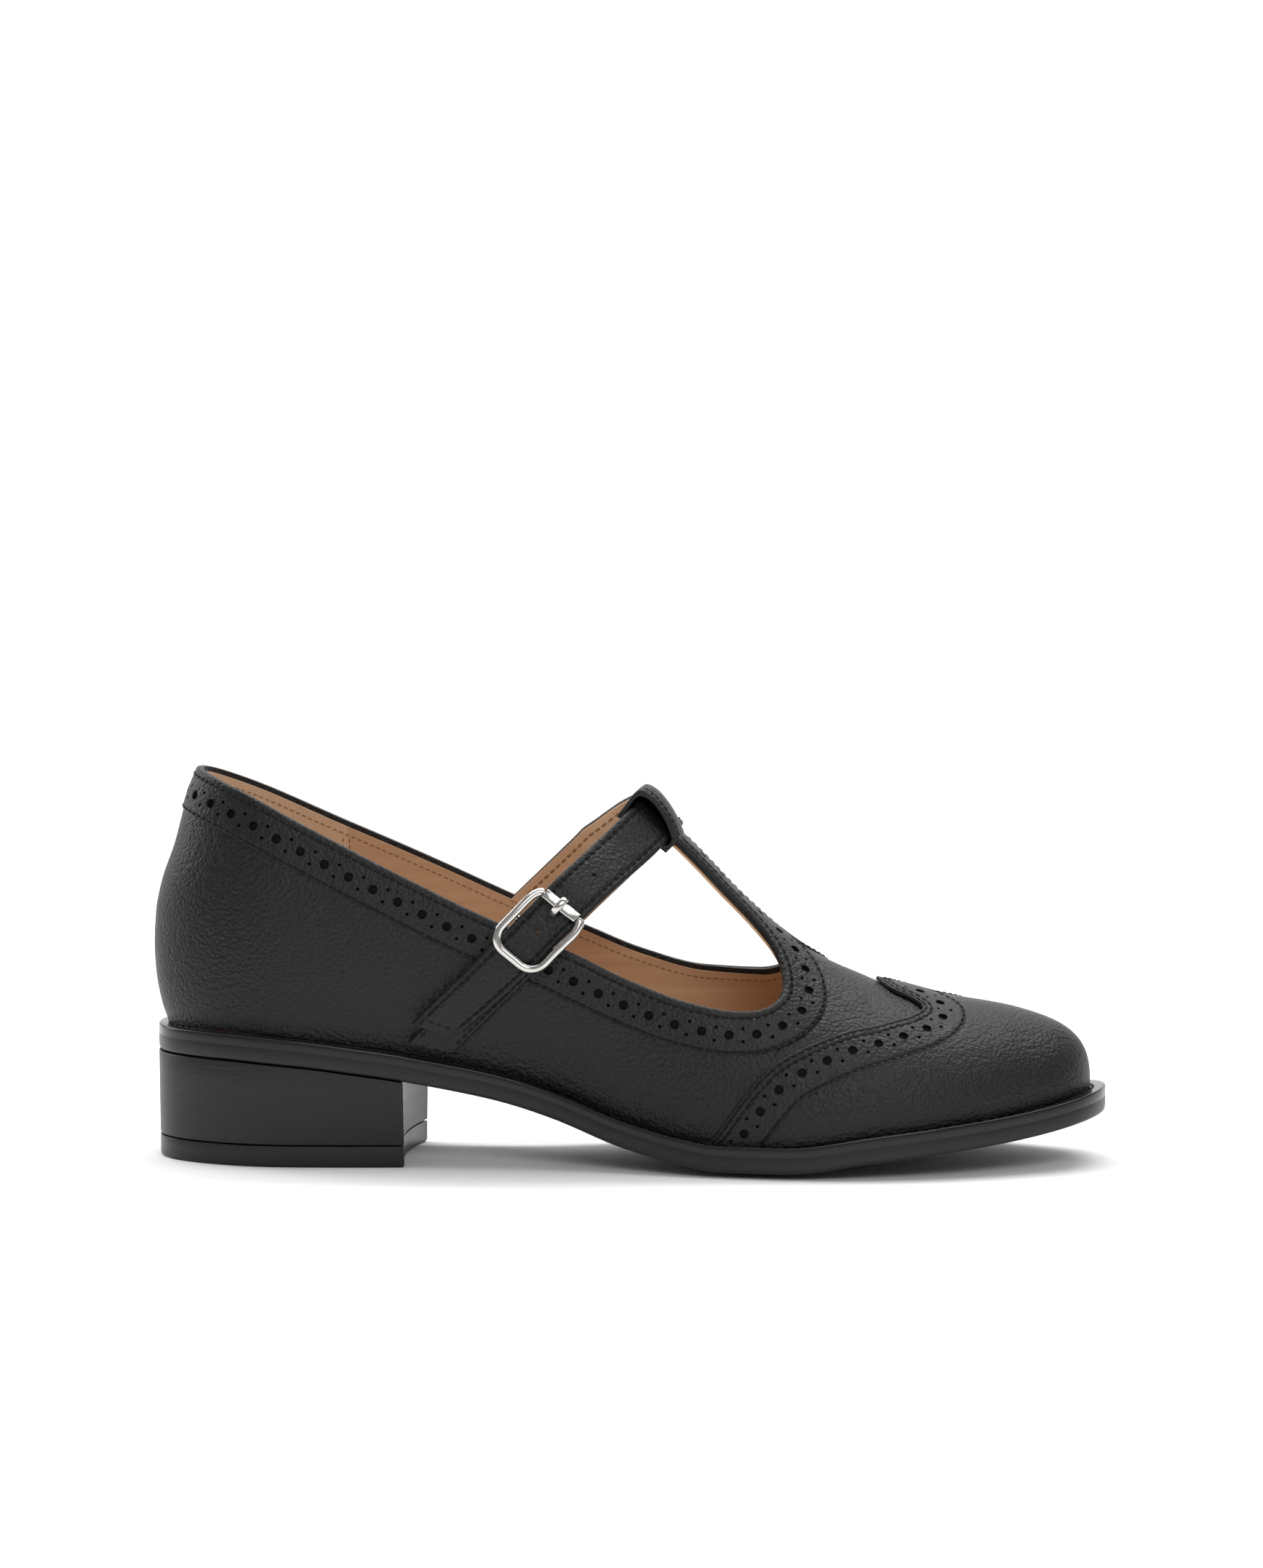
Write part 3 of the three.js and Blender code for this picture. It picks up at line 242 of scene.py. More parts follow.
class Outline:
    """One side of a plan outline, round at both tips."""

    def __init__(self, back, toe, back_radius, toe_radius, points):
        self.back, self.toe, self.points = back, toe, points
        self.back_radius, self.toe_radius = back_radius, toe_radius
        self.length = toe[0] - back[0]
        shares = [(x - back[0]) / self.length for x, _ in points]
        middle = [lerp(back[1], toe[1], u) for u in shares]
        self.side = 1 if points[0][1] > middle[0] else -1
        shape = [abs(p[1] - m) / math.sqrt(u * (1 - u)) for p, m, u in zip(points, middle, shares)]
        ends = [math.sqrt(2 * r * self.length) for r in (back_radius, toe_radius)]
        self.fit = curve_through([0, *shares, 1], [ends[0], *shape, ends[1]])

    def y(self, x):
        u = clamp((x - self.back[0]) / self.length, 0, 1)
        return lerp(self.back[1], self.toe[1], u) + self.side * self.fit(u) * math.sqrt(u * (1 - u))

    def inset(self, back_inset, side_inset, toe_inset):
        points = []
        for x, y in self.points:
            turn = Vector((self.y(x + 0.5) - self.y(x - 0.5), -1.0)).normalized() * self.side * side_inset
            points.append((x + turn.x, y + turn.y))
        back = (self.back[0] + back_inset, self.back[1])
        toe = (self.toe[0] - toe_inset, self.toe[1])
        return Outline(back, toe, self.back_radius - back_inset, self.toe_radius - toe_inset, points)


rim = {}
for side, column in ((outer_side, 1), (inner_side, 2)):
    rim_points = [(along(row[0]), side * row[column] * row[3]) for row in sole_outline]
    rim[side] = Outline((along(0), 0), (along(1), toe_drift), seat_radius, toe_radius, rim_points)

underside_height = curve_through([r[0] for r in underside], [r[1] * r[2] for r in underside])
camber_share = curve_of(underside, 3)


def sole_underside(x, y):
    """The height of the outsole's underside over the floor."""
    to_edge = min(y - rim[outer_side].y(x), rim[inner_side].y(x) - y)
    edge = 1 - clamp(to_edge / camber_reach, 0, 1)
    return underside_height(share(x)) + tread_camber * camber_share(share(x)) * edge * edge


def inset_rim(back, side, toe):
    return {s: rim[s].inset(back, side, toe) for s in (outer_side, inner_side)}


def sole_column(outline, f):
    u = (1 - math.cos(math.pi * f)) / 2
    return (along(u) + (outline.back[0] - along(0)) * (1 - u) ** 6
            + (outline.toe[0] - along(1)) * u ** 6)


def round_plan(outline, columns):
    """Points round a plan, from the back along the outer side to the toe and back again."""
    walks = []
    for side in (outer_side, inner_side):
        xs = [sole_column(outline[side], i / columns) for i in range(columns + 1)]
        walks.append([(x, outline[side].y(x)) for x in xs])
    return walks[0][:-1] + walks[1][::-1][:-1]


def lay(sheet, columns, rows, place):
    """Adds a grid whose vertices are placed by column and row; gives them back by column and row."""
    made = bmesh.ops.create_grid(sheet, x_segments=columns, y_segments=rows, size=0.5)
    laid = {}
    for vertex in made["verts"]:
        i = round((vertex.co.x + 0.5) * columns)
        j = round((vertex.co.y + 0.5) * rows)
        laid[i, j] = vertex
    for (i, j), vertex in laid.items():
        vertex.co = place(i, j)
    return laid


def lay_round(sheet, profile, columns, level):
    """Adds a strip round the sole through a profile of (inset, level) points."""
    rings = [round_plan(inset_rim(inset, inset, inset), columns) for inset, _ in profile]
    count = len(rings[0])

    def place(i, j):
        x, y = rings[j][i % count]
        return (x, y, level(x, y, profile[j][1]))
    lay(sheet, count, len(profile) - 1, place)


def lay_inside(sheet, outline, columns, level):
    """Adds the flat middle of a sole piece, inside a strip with the same columns."""
    across = [0, 0.06, 0.14, 0.24, 0.36, 0.5, 0.64, 0.76, 0.86, 0.94, 1]

    def place(i, j):
        x = sole_column(outline[outer_side], i / columns)
        y = lerp(outline[outer_side].y(x), outline[inner_side].y(x), across[j])
        return (x, y, level(x, y))
    lay(sheet, columns, len(across) - 1, place)


def close_ends(sheet):
    """Joins the seam of a tube and fills its two ends."""
    bmesh.ops.remove_doubles(sheet, verts=sheet.verts, dist=merge_distance)
    bmesh.ops.holes_fill(sheet, edges=[e for e in sheet.edges if e.is_boundary], sides=0)


def thicken(sheet, thickness):
    """Joins patches to one sheet and gives it a thickness."""
    bmesh.ops.remove_doubles(sheet, verts=sheet.verts, dist=0.01)
    bmesh.ops.recalc_face_normals(sheet, faces=sheet.faces)
    bmesh.ops.solidify(sheet, geom=sheet.faces, thickness=thickness)


def finish_piece(name, sheet, materials, nodes=(), sharp=38):
    """Closes a bmesh in millimetres, makes it an object in metres and hands it to the frame."""
    bmesh.ops.remove_doubles(sheet, verts=sheet.verts, dist=merge_distance)
    bmesh.ops.dissolve_degenerate(sheet, edges=sheet.edges, dist=0.002)
    bmesh.ops.recalc_face_normals(sheet, faces=sheet.faces)
    bmesh.ops.scale(sheet, vec=(0.001, 0.001, 0.001), verts=sheet.verts)
    mesh = bpy.data.meshes.new(name)
    sheet.to_mesh(mesh)
    sheet.free()
    for material in materials:
        mesh.materials.append(material)
    mesh.shade_smooth()
    mesh.set_sharp_from_angle(angle=math.radians(sharp))
    piece = bpy.data.objects.new(name, mesh)
    bpy.context.scene.collection.objects.link(piece)
    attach(piece, "root")
    if nodes:
        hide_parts(*nodes)
    return piece


# Resin rubber, moulded and then waxed at the edge: black, smooth and half glossy, with fine level
# marks from the trimming wheel, about 1.5 mm apart.
resin_rubber = new_material("resin_rubber")
place = add(resin_rubber, "TexCoord").outputs["Object"]
level_lines = add(resin_rubber, "Mapping", {"Vector": place, "Scale": (12, 12, 1 / 0.0015)})
trim_marks = noise(resin_rubber, level_lines.outputs[0], 1.0, 3.0)
specks = noise(resin_rubber, place, 1 / 0.0006, 2.0)
cloud = noise(resin_rubber, place, 1 / 0.02, 2.0)
tone = blend(resin_rubber, trim_marks, "#0c0c0e", "#171718")
sheen = add(resin_rubber, "MapRange", {"Value": cloud, "To Min": 0.3, "To Max": 0.46})
relief = add(resin_rubber, "Math", {0: trim_marks, 1: specks}, operation="ADD")
bump = add(resin_rubber, "Bump", {"Height": relief.outputs[0], "Strength": 0.25, "Distance": 0.00006})
show(resin_rubber, {
    "Base Color": tone, "Roughness": sheen.outputs[0], "Normal": bump.outputs[0],
    "IOR": 1.45, "Specular IOR Level": 0.45})

sole_columns = 120
outsole_top = 4.19
outsole_profile = [(3, outsole_top), (0.3, outsole_top), (0.02, outsole_top), (0, 4.1), (0, 2.2),
                   (0.05, 1.0), (0.22, 0.45),
                   (0.6, 0.12), (1.2, 0.0), (3, 0.0)]
outsole = bmesh.new()
lay_round(outsole, outsole_profile, sole_columns, lambda x, y, z: sole_underside(x, y) + z)
inside = inset_rim(3, 3, 3)
lay_inside(outsole, inside, sole_columns, lambda x, y: sole_underside(x, y) + outsole_top)
lay_inside(outsole, inside, sole_columns, sole_underside)
finish_piece("outsole_plate", outsole, [resin_rubber], ["outsole"])

# ---- Welt
# The welt is a strip of dyed black leather round the whole sole. It is stitched through its groove
# to the outsole, and its top edge is bevelled and waxed, which gives the bright line round the shoe.
welt_base = outsole_thickness + clearance
welt_top = welt_base + 3
welt_profile = [(0.55, 7.2), (0.22, 7.11), (0.06, 6.94), (0, 6.7), (0, 5.5), (0, 4.25), (0.04, 4.2),
                (9.3, 4.2),
                (9.5, 4.4), (9.5, 7.0), (9.3, 7.2), (3.9, 7.2), (3.75, 7.02), (3.2, 7.02), (3.05, 7.2)]
welt = bmesh.new()
lay_round(welt, [*welt_profile, welt_profile[0]], sole_columns, lambda x, y, z: sole_underside(x, y) + z)

# Waxed welt leather: closer and glossier than the rubber, with a bright edge.
waxed_leather = new_material("waxed_leather")
place = add(waxed_leather, "TexCoord").outputs["Object"]
pores = noise(waxed_leather, place, 1 / 0.0009, 3.0)
cloud = noise(waxed_leather, place, 1 / 0.012, 2.0)
tone = blend(waxed_leather, pores, "#0a0a0b", "#141415")
sheen = add(waxed_leather, "MapRange", {"Value": cloud, "To Min": 0.2, "To Max": 0.3})
bump = add(waxed_leather, "Bump", {"Height": pores, "Strength": 0.2, "Distance": 0.00005})
show(waxed_leather, {
    "Base Color": tone, "Roughness": sheen.outputs[0], "Normal": bump.outputs[0],
    "IOR": 1.45, "Specular IOR Level": 0.45})
finish_piece("welt_strip", welt, [waxed_leather], ["welt"])


def sew(thread, line, pitch, length, width):
    """Adds stitches along a line of (point, normal): flattened beads with gaps between them."""
    runs = [0.0]
    for (a, _), (b, _) in zip(line, line[1:]):
        runs.append(runs[-1] + (b - a).length)
    count = int((runs[-1] - length) / pitch)
    for k in range(count):
        middle = (k + 0.5) * pitch + length / 2
        i = clamp(bisect.bisect_left(runs, middle) - 1, 0, len(line) - 2)
        span = runs[i + 1] - runs[i]
        if span < 1e-6:
            continue
        centre = line[i][0].lerp(line[i + 1][0], (middle - runs[i]) / span)
        run = (line[i + 1][0] - line[i][0]).normalized()
        up = (line[i][1] - run * line[i][1].dot(run)).normalized()
        turn = Matrix((run * length, up.cross(run) * width, up * width * 0.8)).transposed().to_4x4()
        bmesh.ops.create_uvsphere(thread, u_segments=6, v_segments=5, radius=0.5,
                                  matrix=Matrix.Translation(centre) @ turn @ Matrix.Rotation(quarter_turn,
                                                                                             4, "Y"))


# Bonded polyester thread, waxed: black, a little shinier than the leather round it, with a twist.
waxed_thread = new_material("waxed_thread")
place = add(waxed_thread, "TexCoord").outputs["Object"]
twist = noise(waxed_thread, place, 1 / 0.0003, 2.0)
tone = blend(waxed_thread, twist, "#030304", "#0c0c0d")
bump = add(waxed_thread, "Bump", {"Height": twist, "Strength": 0.4, "Distance": 0.00005})
show(waxed_thread, {
    "Base Color": tone, "Roughness": 0.6, "Normal": bump.outputs[0],
    "Specular IOR Level": 0.25})

welt_thread = bmesh.new()
seam_plan = round_plan(inset_rim(3.48, 3.48, 3.48), sole_columns)
seam_line = [(Vector((x, y, sole_underside(x, y) + welt_top - 0.08)), Vector((0, 0, 1))) for x,
             y in seam_plan]
sew(welt_thread, seam_line, 3.2, 2.5, 0.85)
finish_piece("welt_stitching", welt_thread, [waxed_thread])

# ---- Heel
# The heel is a stacked block of black fibreboard about 30 mm high, nailed under the outsole, with a
# 6 mm wearing piece of rubber. Its back is round, its sides taper and its breast is slightly hollow.
heel_breast, breast_sag = 38.4, 2.5
heel_side_taper, heel_back_taper = 3, 0.2
top_piece_thickness = 6


def heel_spot(level, inset, f, v):
    """A point of the heel's plan: f from its back to its breast, v from its outer to its inner side."""
    back = along(0) + heel_back_taper * (1 - level)
    breast = heel_breast - breast_sag * (1 - (2 * v - 1) ** 2)
    x = lerp(back, breast, 1 - math.cos(quarter_turn * f))
    rim_x = along(0) + (x - back)
    edges = []
    for side in (outer_side, inner_side):
        half = abs(rim[side].y(heel_breast / 2))
        edges.append(rim[side].y(rim_x) * (1 - ((1 - level) * heel_side_taper + inset) / half))
    deeper = inset * (1 - x / breast) if x < 0 else -inset * x / breast
    return x + deeper, lerp(edges[0], edges[1], v)


def lay_heel(sheet, layers, height):
    """Adds a heel piece through layers of (level, inset, share of the height)."""
    sides, breadth = 44, 20
    path = [(1 - i / sides, 0) for i in range(sides)] + [(i / sides, 1) for i in range(sides)]
    path += [(1, 1 - i / breadth) for i in range(breadth + 1)]

    def on_wall(i, j):
        x, y = heel_spot(layers[j][0], layers[j][1], *path[i])
        return (x, y, height(x, y, layers[j][2]))
    lay(sheet, len(path) - 1, len(layers) - 1, on_wall)
    for layer in (layers[0], layers[-1]):
        def on_face(i, j, layer=layer):
            x, y = heel_spot(layer[0], layer[1], i / sides, j / breadth)
            return (x, y, height(x, y, layer[2]))
        lay(sheet, sides, breadth, on_face)


heel_block = bmesh.new()
block_foot = top_piece_thickness + clearance
lay_heel(heel_block, [(0.15, 0.3, 0), (0.15, 0.06, 0.006), (0.16, 0, 0.02), (0.5, 0, 0.4), (0.75, 0, 0.7),
                      (0.99, 0, 0.985),
                      (1, 0.1, 1)],
         lambda x, y, f: lerp(block_foot, sole_underside(x, y) - clearance, f))

# Stacked fibreboard, sanded, stained black and waxed: half matt, with faint level lines where the
# layers meet, about 3 mm apart.
stacked_board = new_material("stacked_board")
place = add(stacked_board, "TexCoord").outputs["Object"]
layer_lines = add(stacked_board, "Mapping", {"Vector": place, "Scale": (8, 8, 1 / 0.0026)})
layers = add(stacked_board, "TexNoise", {"Vector": layer_lines.outputs[0], "Scale": 1.0, "Detail": 4.0,
                                         "Roughness": 0.65})
fibres = add(stacked_board, "Mapping", {"Vector": place, "Scale": (60, 60, 1 / 0.0004)})
fibre = noise(stacked_board, fibres.outputs[0], 1.0, 2.0)
tone = blend(stacked_board, layers.outputs[0], "#060607", "#1d1d1e")
sheen = add(stacked_board, "MapRange", {"Value": layers.outputs[0], "To Min": 0.36, "To Max": 0.52})
relief = add(stacked_board, "Math", {0: layers.outputs[0], 1: fibre}, operation="ADD")
bump = add(stacked_board, "Bump", {"Height": relief.outputs[0], "Strength": 0.6, "Distance": 0.00012})
show(stacked_board, {
    "Base Color": tone, "Roughness": sheen.outputs[0], "Normal": bump.outputs[0],
    "IOR": 1.45, "Specular IOR Level": 0.45})
finish_piece("heel_stack", heel_block, [stacked_board], ["heel_block"])

top_piece = bmesh.new()
lay_heel(top_piece, [(0, 1.0, 0), (0, 0.4, 0.02), (0, 0.1, 0.08), (0, 0, 0.16), (0.12, 0, 0.94),
                     (0.13, 0.08, 0.985),
                     (0.13, 0.3, 1)],
         lambda x, y, f: top_piece_thickness * f)
finish_piece("heel_wearing_piece", top_piece, [resin_rubber], ["heel_top_piece"])

# ---- Insole
# The insole is a board covered by a tan leather sock, glued down from heel to toe. Its edge meets
# the lining all round, and only its top is seen.
feather_level = welt_top + clearance
feather_back, feather_side, feather_toe, wall = 2.6, 5, 5.5, 2.2
sock_inset = wall + 0.9
insole_top = 2

# Calf lining leather, smooth and only lightly finished: warm tan, matt to half matt, with faint
# streaks along the hide and pores under a millimetre apart.
tan_calf = new_material("tan_calf")
place = add(tan_calf, "TexCoord").outputs["Object"]
streak_place = add(tan_calf, "Mapping", {"Vector": place, "Scale": (25, 90, 420)})
streaks = noise(tan_calf, streak_place.outputs[0], 1.0, 3.0)
pores = noise(tan_calf, place, 1 / 0.0006, 3.0)
tone = blend(tan_calf, streaks, "#b48d6c", "#cfab89")
bump = add(tan_calf, "Bump", {"Height": pores, "Strength": 0.25, "Distance": 0.00006})
show(tan_calf, {
    "Base Color": tone, "Roughness": 0.58, "Normal": bump.outputs[0], "IOR": 1.45})

sock = bmesh.new()
sock_rings = [(0.0, 0.2), (0.0, 1.6), (0.15, 1.87), (0.5, 2.0)]
sock_plans = []
for inset, _ in sock_rings:
    sock_plans.append(inset_rim(feather_back + sock_inset + inset, feather_side + sock_inset + inset,
                                feather_toe + sock_inset + inset))
sock_walks = [round_plan(plan, 90) for plan in sock_plans]


def on_sock(i, j):
    x, y = sock_walks[j][i % len(sock_walks[j])]
    return (x, y, sole_underside(x, y) + feather_level + sock_rings[j][1])


lay(sock, len(sock_walks[0]), len(sock_rings) - 1, on_sock)
lay_inside(sock, sock_plans[-1], 90, lambda x, y: sole_underside(x, y) + feather_level + insole_top)
lay_inside(sock, sock_plans[0], 90, lambda x, y: sole_underside(x, y) + feather_level + 0.2)
finish_piece("insole_sock", sock, [tan_calf], ["insole"])

# ---- Upper
# The vamp and quarters are black grained calf, pulled over the last and closed at a back seam. They
# run from the welt up to the collar, and a narrow bar rises from the vamp to the strap's loop.
instep_height, toe_height, quarter_height, collar_top = 91, 44, 71.5, 109
back_lean, heel_roundness = 10.7, 2.15
throat_nose, bar_half_width, loop_width, strap_slope = 16, 7, 17.9, 44.4
outer_throat_height, inner_throat_height = 50.5, 57
section_start, throat_front, bar_top = along(0.1575), along(0.668), along(0.556)
toe_front_power, bulge_top = 1 / 3, 0.8

# at, height, of which height, drift
ridge_line = [
    (0.156, 1.65, instep_height, 0), (0.278, 1.57, instep_height, 0), (0.354, 1.47, instep_height, 0),
    (0.43, 1.33, instep_height, 0), (0.487, 1.19, instep_height, 0), (0.555, 0.994, instep_height, 0.05),
    (0.587, 0.899, instep_height, 0.1), (0.618, 0.805, instep_height, 0.15),
              (0.649, 0.725, instep_height, 0.2),
    (0.68, 0.659, instep_height, 0.27), (0.71, 0.608, instep_height, 0.35),
              (0.741, 1.178, toe_height, 0.42),
    (0.763, 1.122, toe_height, 0.48), (0.786, 1.088, toe_height, 0.53), (0.847, 1.0, toe_height, 0.68),
    (0.90, 0.945, toe_height, 0.8),
]
# at, shoulder, crown, bulge
fullness = [
    (0.156, 1.8, 1.4, 2.4), (0.35, 1.8, 1.4, 7.0), (0.44, 1.7, 1.6, 6.3), (0.50, 1.4, 2.2, 4.2),
    (0.555, 1.3, 2.6, 3.0), (0.618, 1.3, 2.5, 2.4), (0.68, 1.5, 2.1, 2.0), (0.741, 1.85, 1.8, 1.5),
    (0.80, 2, 1.85, 1.2), (0.90, 2.2, 1.9, 1.0), (1.00, 2.3, 2, 0.5),
]
back_curve = [(0.0, 0.24), (0.08, 0.06), (0.20, -0.08), (0.30, -0.115), (0.43, -0.07), (0.55, 0.09),
              (0.69, 0.42),
              (0.89, 0.785), (0.97, 1.0), (1.15, 1.45)]
# at, outer, inner
topline = [
    (0.040, 1.0, 1.0), (0.097, 0.948, 0.941), (0.171, 0.859, 0.860), (0.269, 0.742, 0.758),
           (0.367, 0.630, 0.653),
    (0.4525, 0.547, 0.566), (0.506, 0.486, 0.514), (0.5726, 0.430, 0.471), (0.620, 0.410, 0.466),
           (0.668, 0.408, 0.466),
]

feather = inset_rim(feather_back, feather_side, feather_toe)
last_tip = feather[outer_side].toe[0]
shoulder = curve_of(fullness, 1)
crown = curve_of(fullness, 2)
bulge = curve_of(fullness, 3)
drift = curve_of(ridge_line, 3)
lean = curve_of(back_curve, 1)


def feather_height(x, y):
    """The height at which the last stands on the welt."""
    return sole_underside(x, y) + feather_level


def ridge_drift(x):
    known = ridge_line[-1]
    beyond = (share(x) - known[0]) / (share(last_tip) - known[0])
    return toe_drift * (lerp(known[3], 1, min(1, beyond)) if beyond > 0 else drift(share(x)))


ridge_xs = [along(row[0]) for row in ridge_line]
ridge_fit = curve_through(ridge_xs, [
    (row[1] * row[2] - feather_height(x, ridge_drift(x))) / (last_tip - x) ** toe_front_power
    for row, x in zip(ridge_line, ridge_xs)])


@functools.lru_cache(maxsize=None)
def section(x, side):
    """What one cross-section of the last needs: exponents, half foot, bulge, drift, base and ridge."""
    at, middle = share(x), ridge_drift(x)
    side_y = feather[side].y(x)
    half = abs(side_y - middle)
    top = feather_height(x, middle) + ridge_fit(x) * max(0, last_tip - x) ** toe_front_power
    swell = bulge(at) * min(1, half / camber_reach)
    return shoulder(at), crown(at), half, swell, middle, feather_height(x, side_y), top, side_y


def last_point(station, t, side):
    """A point of the last. Station -1 is the back seam, 0 the seat's middle, then mm to the toe."""
    x = section_start + max(0.0, station)
    power, roundness, half, swell, middle, base, top, side_y = section(x, side)
    h = min(1.0, math.sin(quarter_turn * clamp(t, 0, 1)) ** (2 / power))
    width = half * max(0.0, 1 - h ** power) ** (1 / roundness)
    width += swell * math.sin(math.pi * min(1, h / bulge_top))
    y = middle + side * width
    if station >= 0:
        return Vector((x, y, lerp(base, top, h)))
    turn = (1 + max(-1.0, station)) * quarter_turn
    foot = heel_point(turn, base, side_y)
    return heel_point(turn, lerp(feather_height(foot.x, foot.y), top, h), y)


heel_foot = feather_height(along(0), 0)


def heel_point(turn, z, side_y):
    """A point of the heel's round back, by its turn from the back seam and its height."""
    up = (z - heel_foot) / quarter_height
    depth = section_start - along(0) - back_lean * lean(up)
    reach = max(0.0, math.cos(turn)) ** (2 / heel_roundness)
    return Vector((section_start - depth * reach,
                   side_y * max(0.0, math.sin(turn)) ** (2 / heel_roundness), z))


def last_normal(station, t, side):
    """The last's outward normal."""
    reach = 0.004 if station < 0 else 0.02
    end = last_tip - section_start
    if station >= end - reach:
        return Vector((1, 0, 0))
    low_end, high_end = (-1, 0) if station < 0 else (0, end)
    a = last_point(max(low_end, station - reach), t, side)
    b = last_point(min(high_end, station + reach), t, side)
    if t >= 1:
        return Vector((a.z - b.z, 0, b.x - a.x)).normalized()
    c = last_point(station, max(0, t - 0.002), side)
    d = last_point(station, min(1, t + 0.002), side)
    normal = (b - a).cross(d - c)
    if side == inner_side:
        normal.negate()
    if station <= -1:
        normal.y = 0
    return normal.normalized()


def off_last(station, t, side, offset):
    """A point off the last's surface, outwards if the offset is positive."""
    p = last_point(station, t, side) + last_normal(station, t, side) * offset
    if t <= 0:
        p.z = feather_height(p.x, p.y)
    return p


def crossing(station, side, is_past):
    """The share t at which a column of the last passes a test."""
    return halve(0.0, 1.0, lambda t: is_past(last_point(station, t, side)))


line_height = {outer_side: curve_of(topline, 1),
               inner_side: curve_of(topline, 2)}
throat_height = {outer_side: outer_throat_height, inner_side: inner_throat_height}


def nose_rise(x, front, length):
    """How far an opening's round front end has risen, from 0 behind it to 1 at its front."""
    e = clamp((front - x) / length, 0, 1)
    return 1 - math.sqrt(max(0.0, 1 - (1 - e) ** 2))


def topline_share(station, side, margin=0):
    """Where a column meets the opening's edge, or a line that runs a margin inside the leather."""
    line = outer_side if station <= -1 else side
    front = throat_front + margin

    def past(p):
        low = collar_top * line_height[line](share(p.x)) - margin * 1.1
        return p.z > low + (throat_height[line] - low) * nose_rise(p.x, front, throat_nose * 0.65)
    return crossing(station, side, past)


def throat_share(side, margin=0):
    return topline_share(throat_front + margin - section_start, side, margin)


def bar_share(station, side, margin=0):
    front_x = throat_front + margin
    x = section_start + station
    corner = last_point(front_x - section_start, throat_share_at[side, margin], side)
    front = abs(corner.y - ridge_drift(front_x))
    slim = bar_half_width - margin
    half = slim + (front - slim) * nose_rise(x, front_x, throat_nose)
    return crossing(station, side, lambda p: abs(p.y - ridge_drift(x)) < half)


lining_margin = 1.3
throat_share_at = {(side, margin): throat_share(side, margin)
                   for side in (outer_side, inner_side) for margin in (0, lining_margin)}

strap_angle = math.radians(strap_slope)
strap_up = Vector((math.cos(strap_angle), 0, math.sin(strap_angle)))
strap_across = Vector((math.sin(strap_angle), 0, -math.cos(strap_angle)))
buckle_at, buckle_level = 0.4122, 65.2
buckle_spot = Vector((along(buckle_at), 0, buckle_level))


def station_across(across, t, side):
    """The station at which a row of the last passes a distance across the strap."""
    def is_past(station):
        return (last_point(station, t, side) - buckle_spot).dot(strap_across) > across
    return halve(0.0, throat_front - section_start + throat_nose, is_past, 20)


def bar_place(f, row, side, margin=0):
    """A place of the bar: f from the loop to the throat, row from its edge to its ridge."""
    end = throat_front + margin - section_start
    start = bar_start[side, margin]
    station = lerp(start, end, math.sin(quarter_turn * f))
    edge = lerp(bar_share(min(station, throat_front - section_start), side),
                bar_share(station, side, margin), f ** 3)
    return station, lerp(edge, 1, row)


bar_tuck = 1.2
bar_start = {}
for side, margin in throat_share_at:
    start = bar_top - section_start
    for _ in range(8):
        start = station_across(loop_width / 2 - bar_tuck, bar_share(start, side, margin), side)
    bar_start[side, margin] = start

# Grained calf: fine pebbles a little under a millimetre across with shallow creases between them,
# dyed black and finished half matt, so light lies on it in broad soft greys.
grained_calf = new_material("grained_calf")
place = add(grained_calf, "TexCoord").outputs["Object"]
sway = add(grained_calf, "TexNoise", {"Vector": place, "Scale": 1 / 0.0016, "Detail": 2.0})
swayed = add(grained_calf, "Mix", {"Factor": 0.00045, "A": place, "B": sway.outputs["Color"]},
             data_type="VECTOR")
pebbles = add(grained_calf, "TexVoronoi", {"Vector": swayed.outputs["Result"], "Scale": 1 / 0.00095,
                                           "Smoothness": 0.6},
              feature="SMOOTH_F1")
pores = noise(grained_calf, place, 1 / 0.00035, 2.0)
cloud = noise(grained_calf, place, 1 / 0.02, 3.0)
dome = add(grained_calf, "Math", {0: 1.0, 1: pebbles.outputs["Distance"]}, operation="SUBTRACT")
relief = add(grained_calf, "Math", {0: pores, 1: 0.25, 2: dome.outputs[0]}, operation="MULTIPLY_ADD")
# The colour is painted darker in the creases between the pebbles and lighter on their tops: painted shade set by the
# pebbles' height.
tone = blend(grained_calf, dome.outputs[0], "#08080a", "#131315")
shade = add(grained_calf, "Mix", {"Factor": cloud, "A": tone, "B": linear("#101012")},
            data_type="RGBA")
sheen = add(grained_calf, "MapRange", {"Value": cloud, "To Min": 0.4, "To Max": 0.52})
bump = add(grained_calf, "Bump", {"Height": relief.outputs[0], "Strength": 0.9, "Distance": 0.0003})
show(grained_calf, {
    "Base Color": shade.outputs["Result"], "Roughness": sheen.outputs[0], "Normal": bump.outputs[0],
    "IOR": 1.45, "Specular IOR Level": 0.42})

heel_pace = 60


def place_of(q):
    """A station from a measure that runs in about millimetres, behind the seat too."""
    return max(-1.0, q / heel_pace) if q < 0 else q


opening_paths = {}
for side in (outer_side, inner_side):
    end = throat_front - section_start
    path = []
    for i in range(200):
        q = lerp(-heel_pace, end, 1 - (1 - i / 200) ** 1.7)
        path.append((q, topline_share(place_of(q), side)))
    for i in range(60, -1, -1):
        path.append(bar_place(i / 60, 0, side))
    opening_paths[side] = path

edge_tree = kdtree.KDTree(sum(len(path) for path in opening_paths.values()))
for side, path in opening_paths.items():
    for k, (q, t) in enumerate(path):
        edge_tree.insert(last_point(place_of(q), t, side), k)
edge_tree.balance()


tip_gap = 0.5


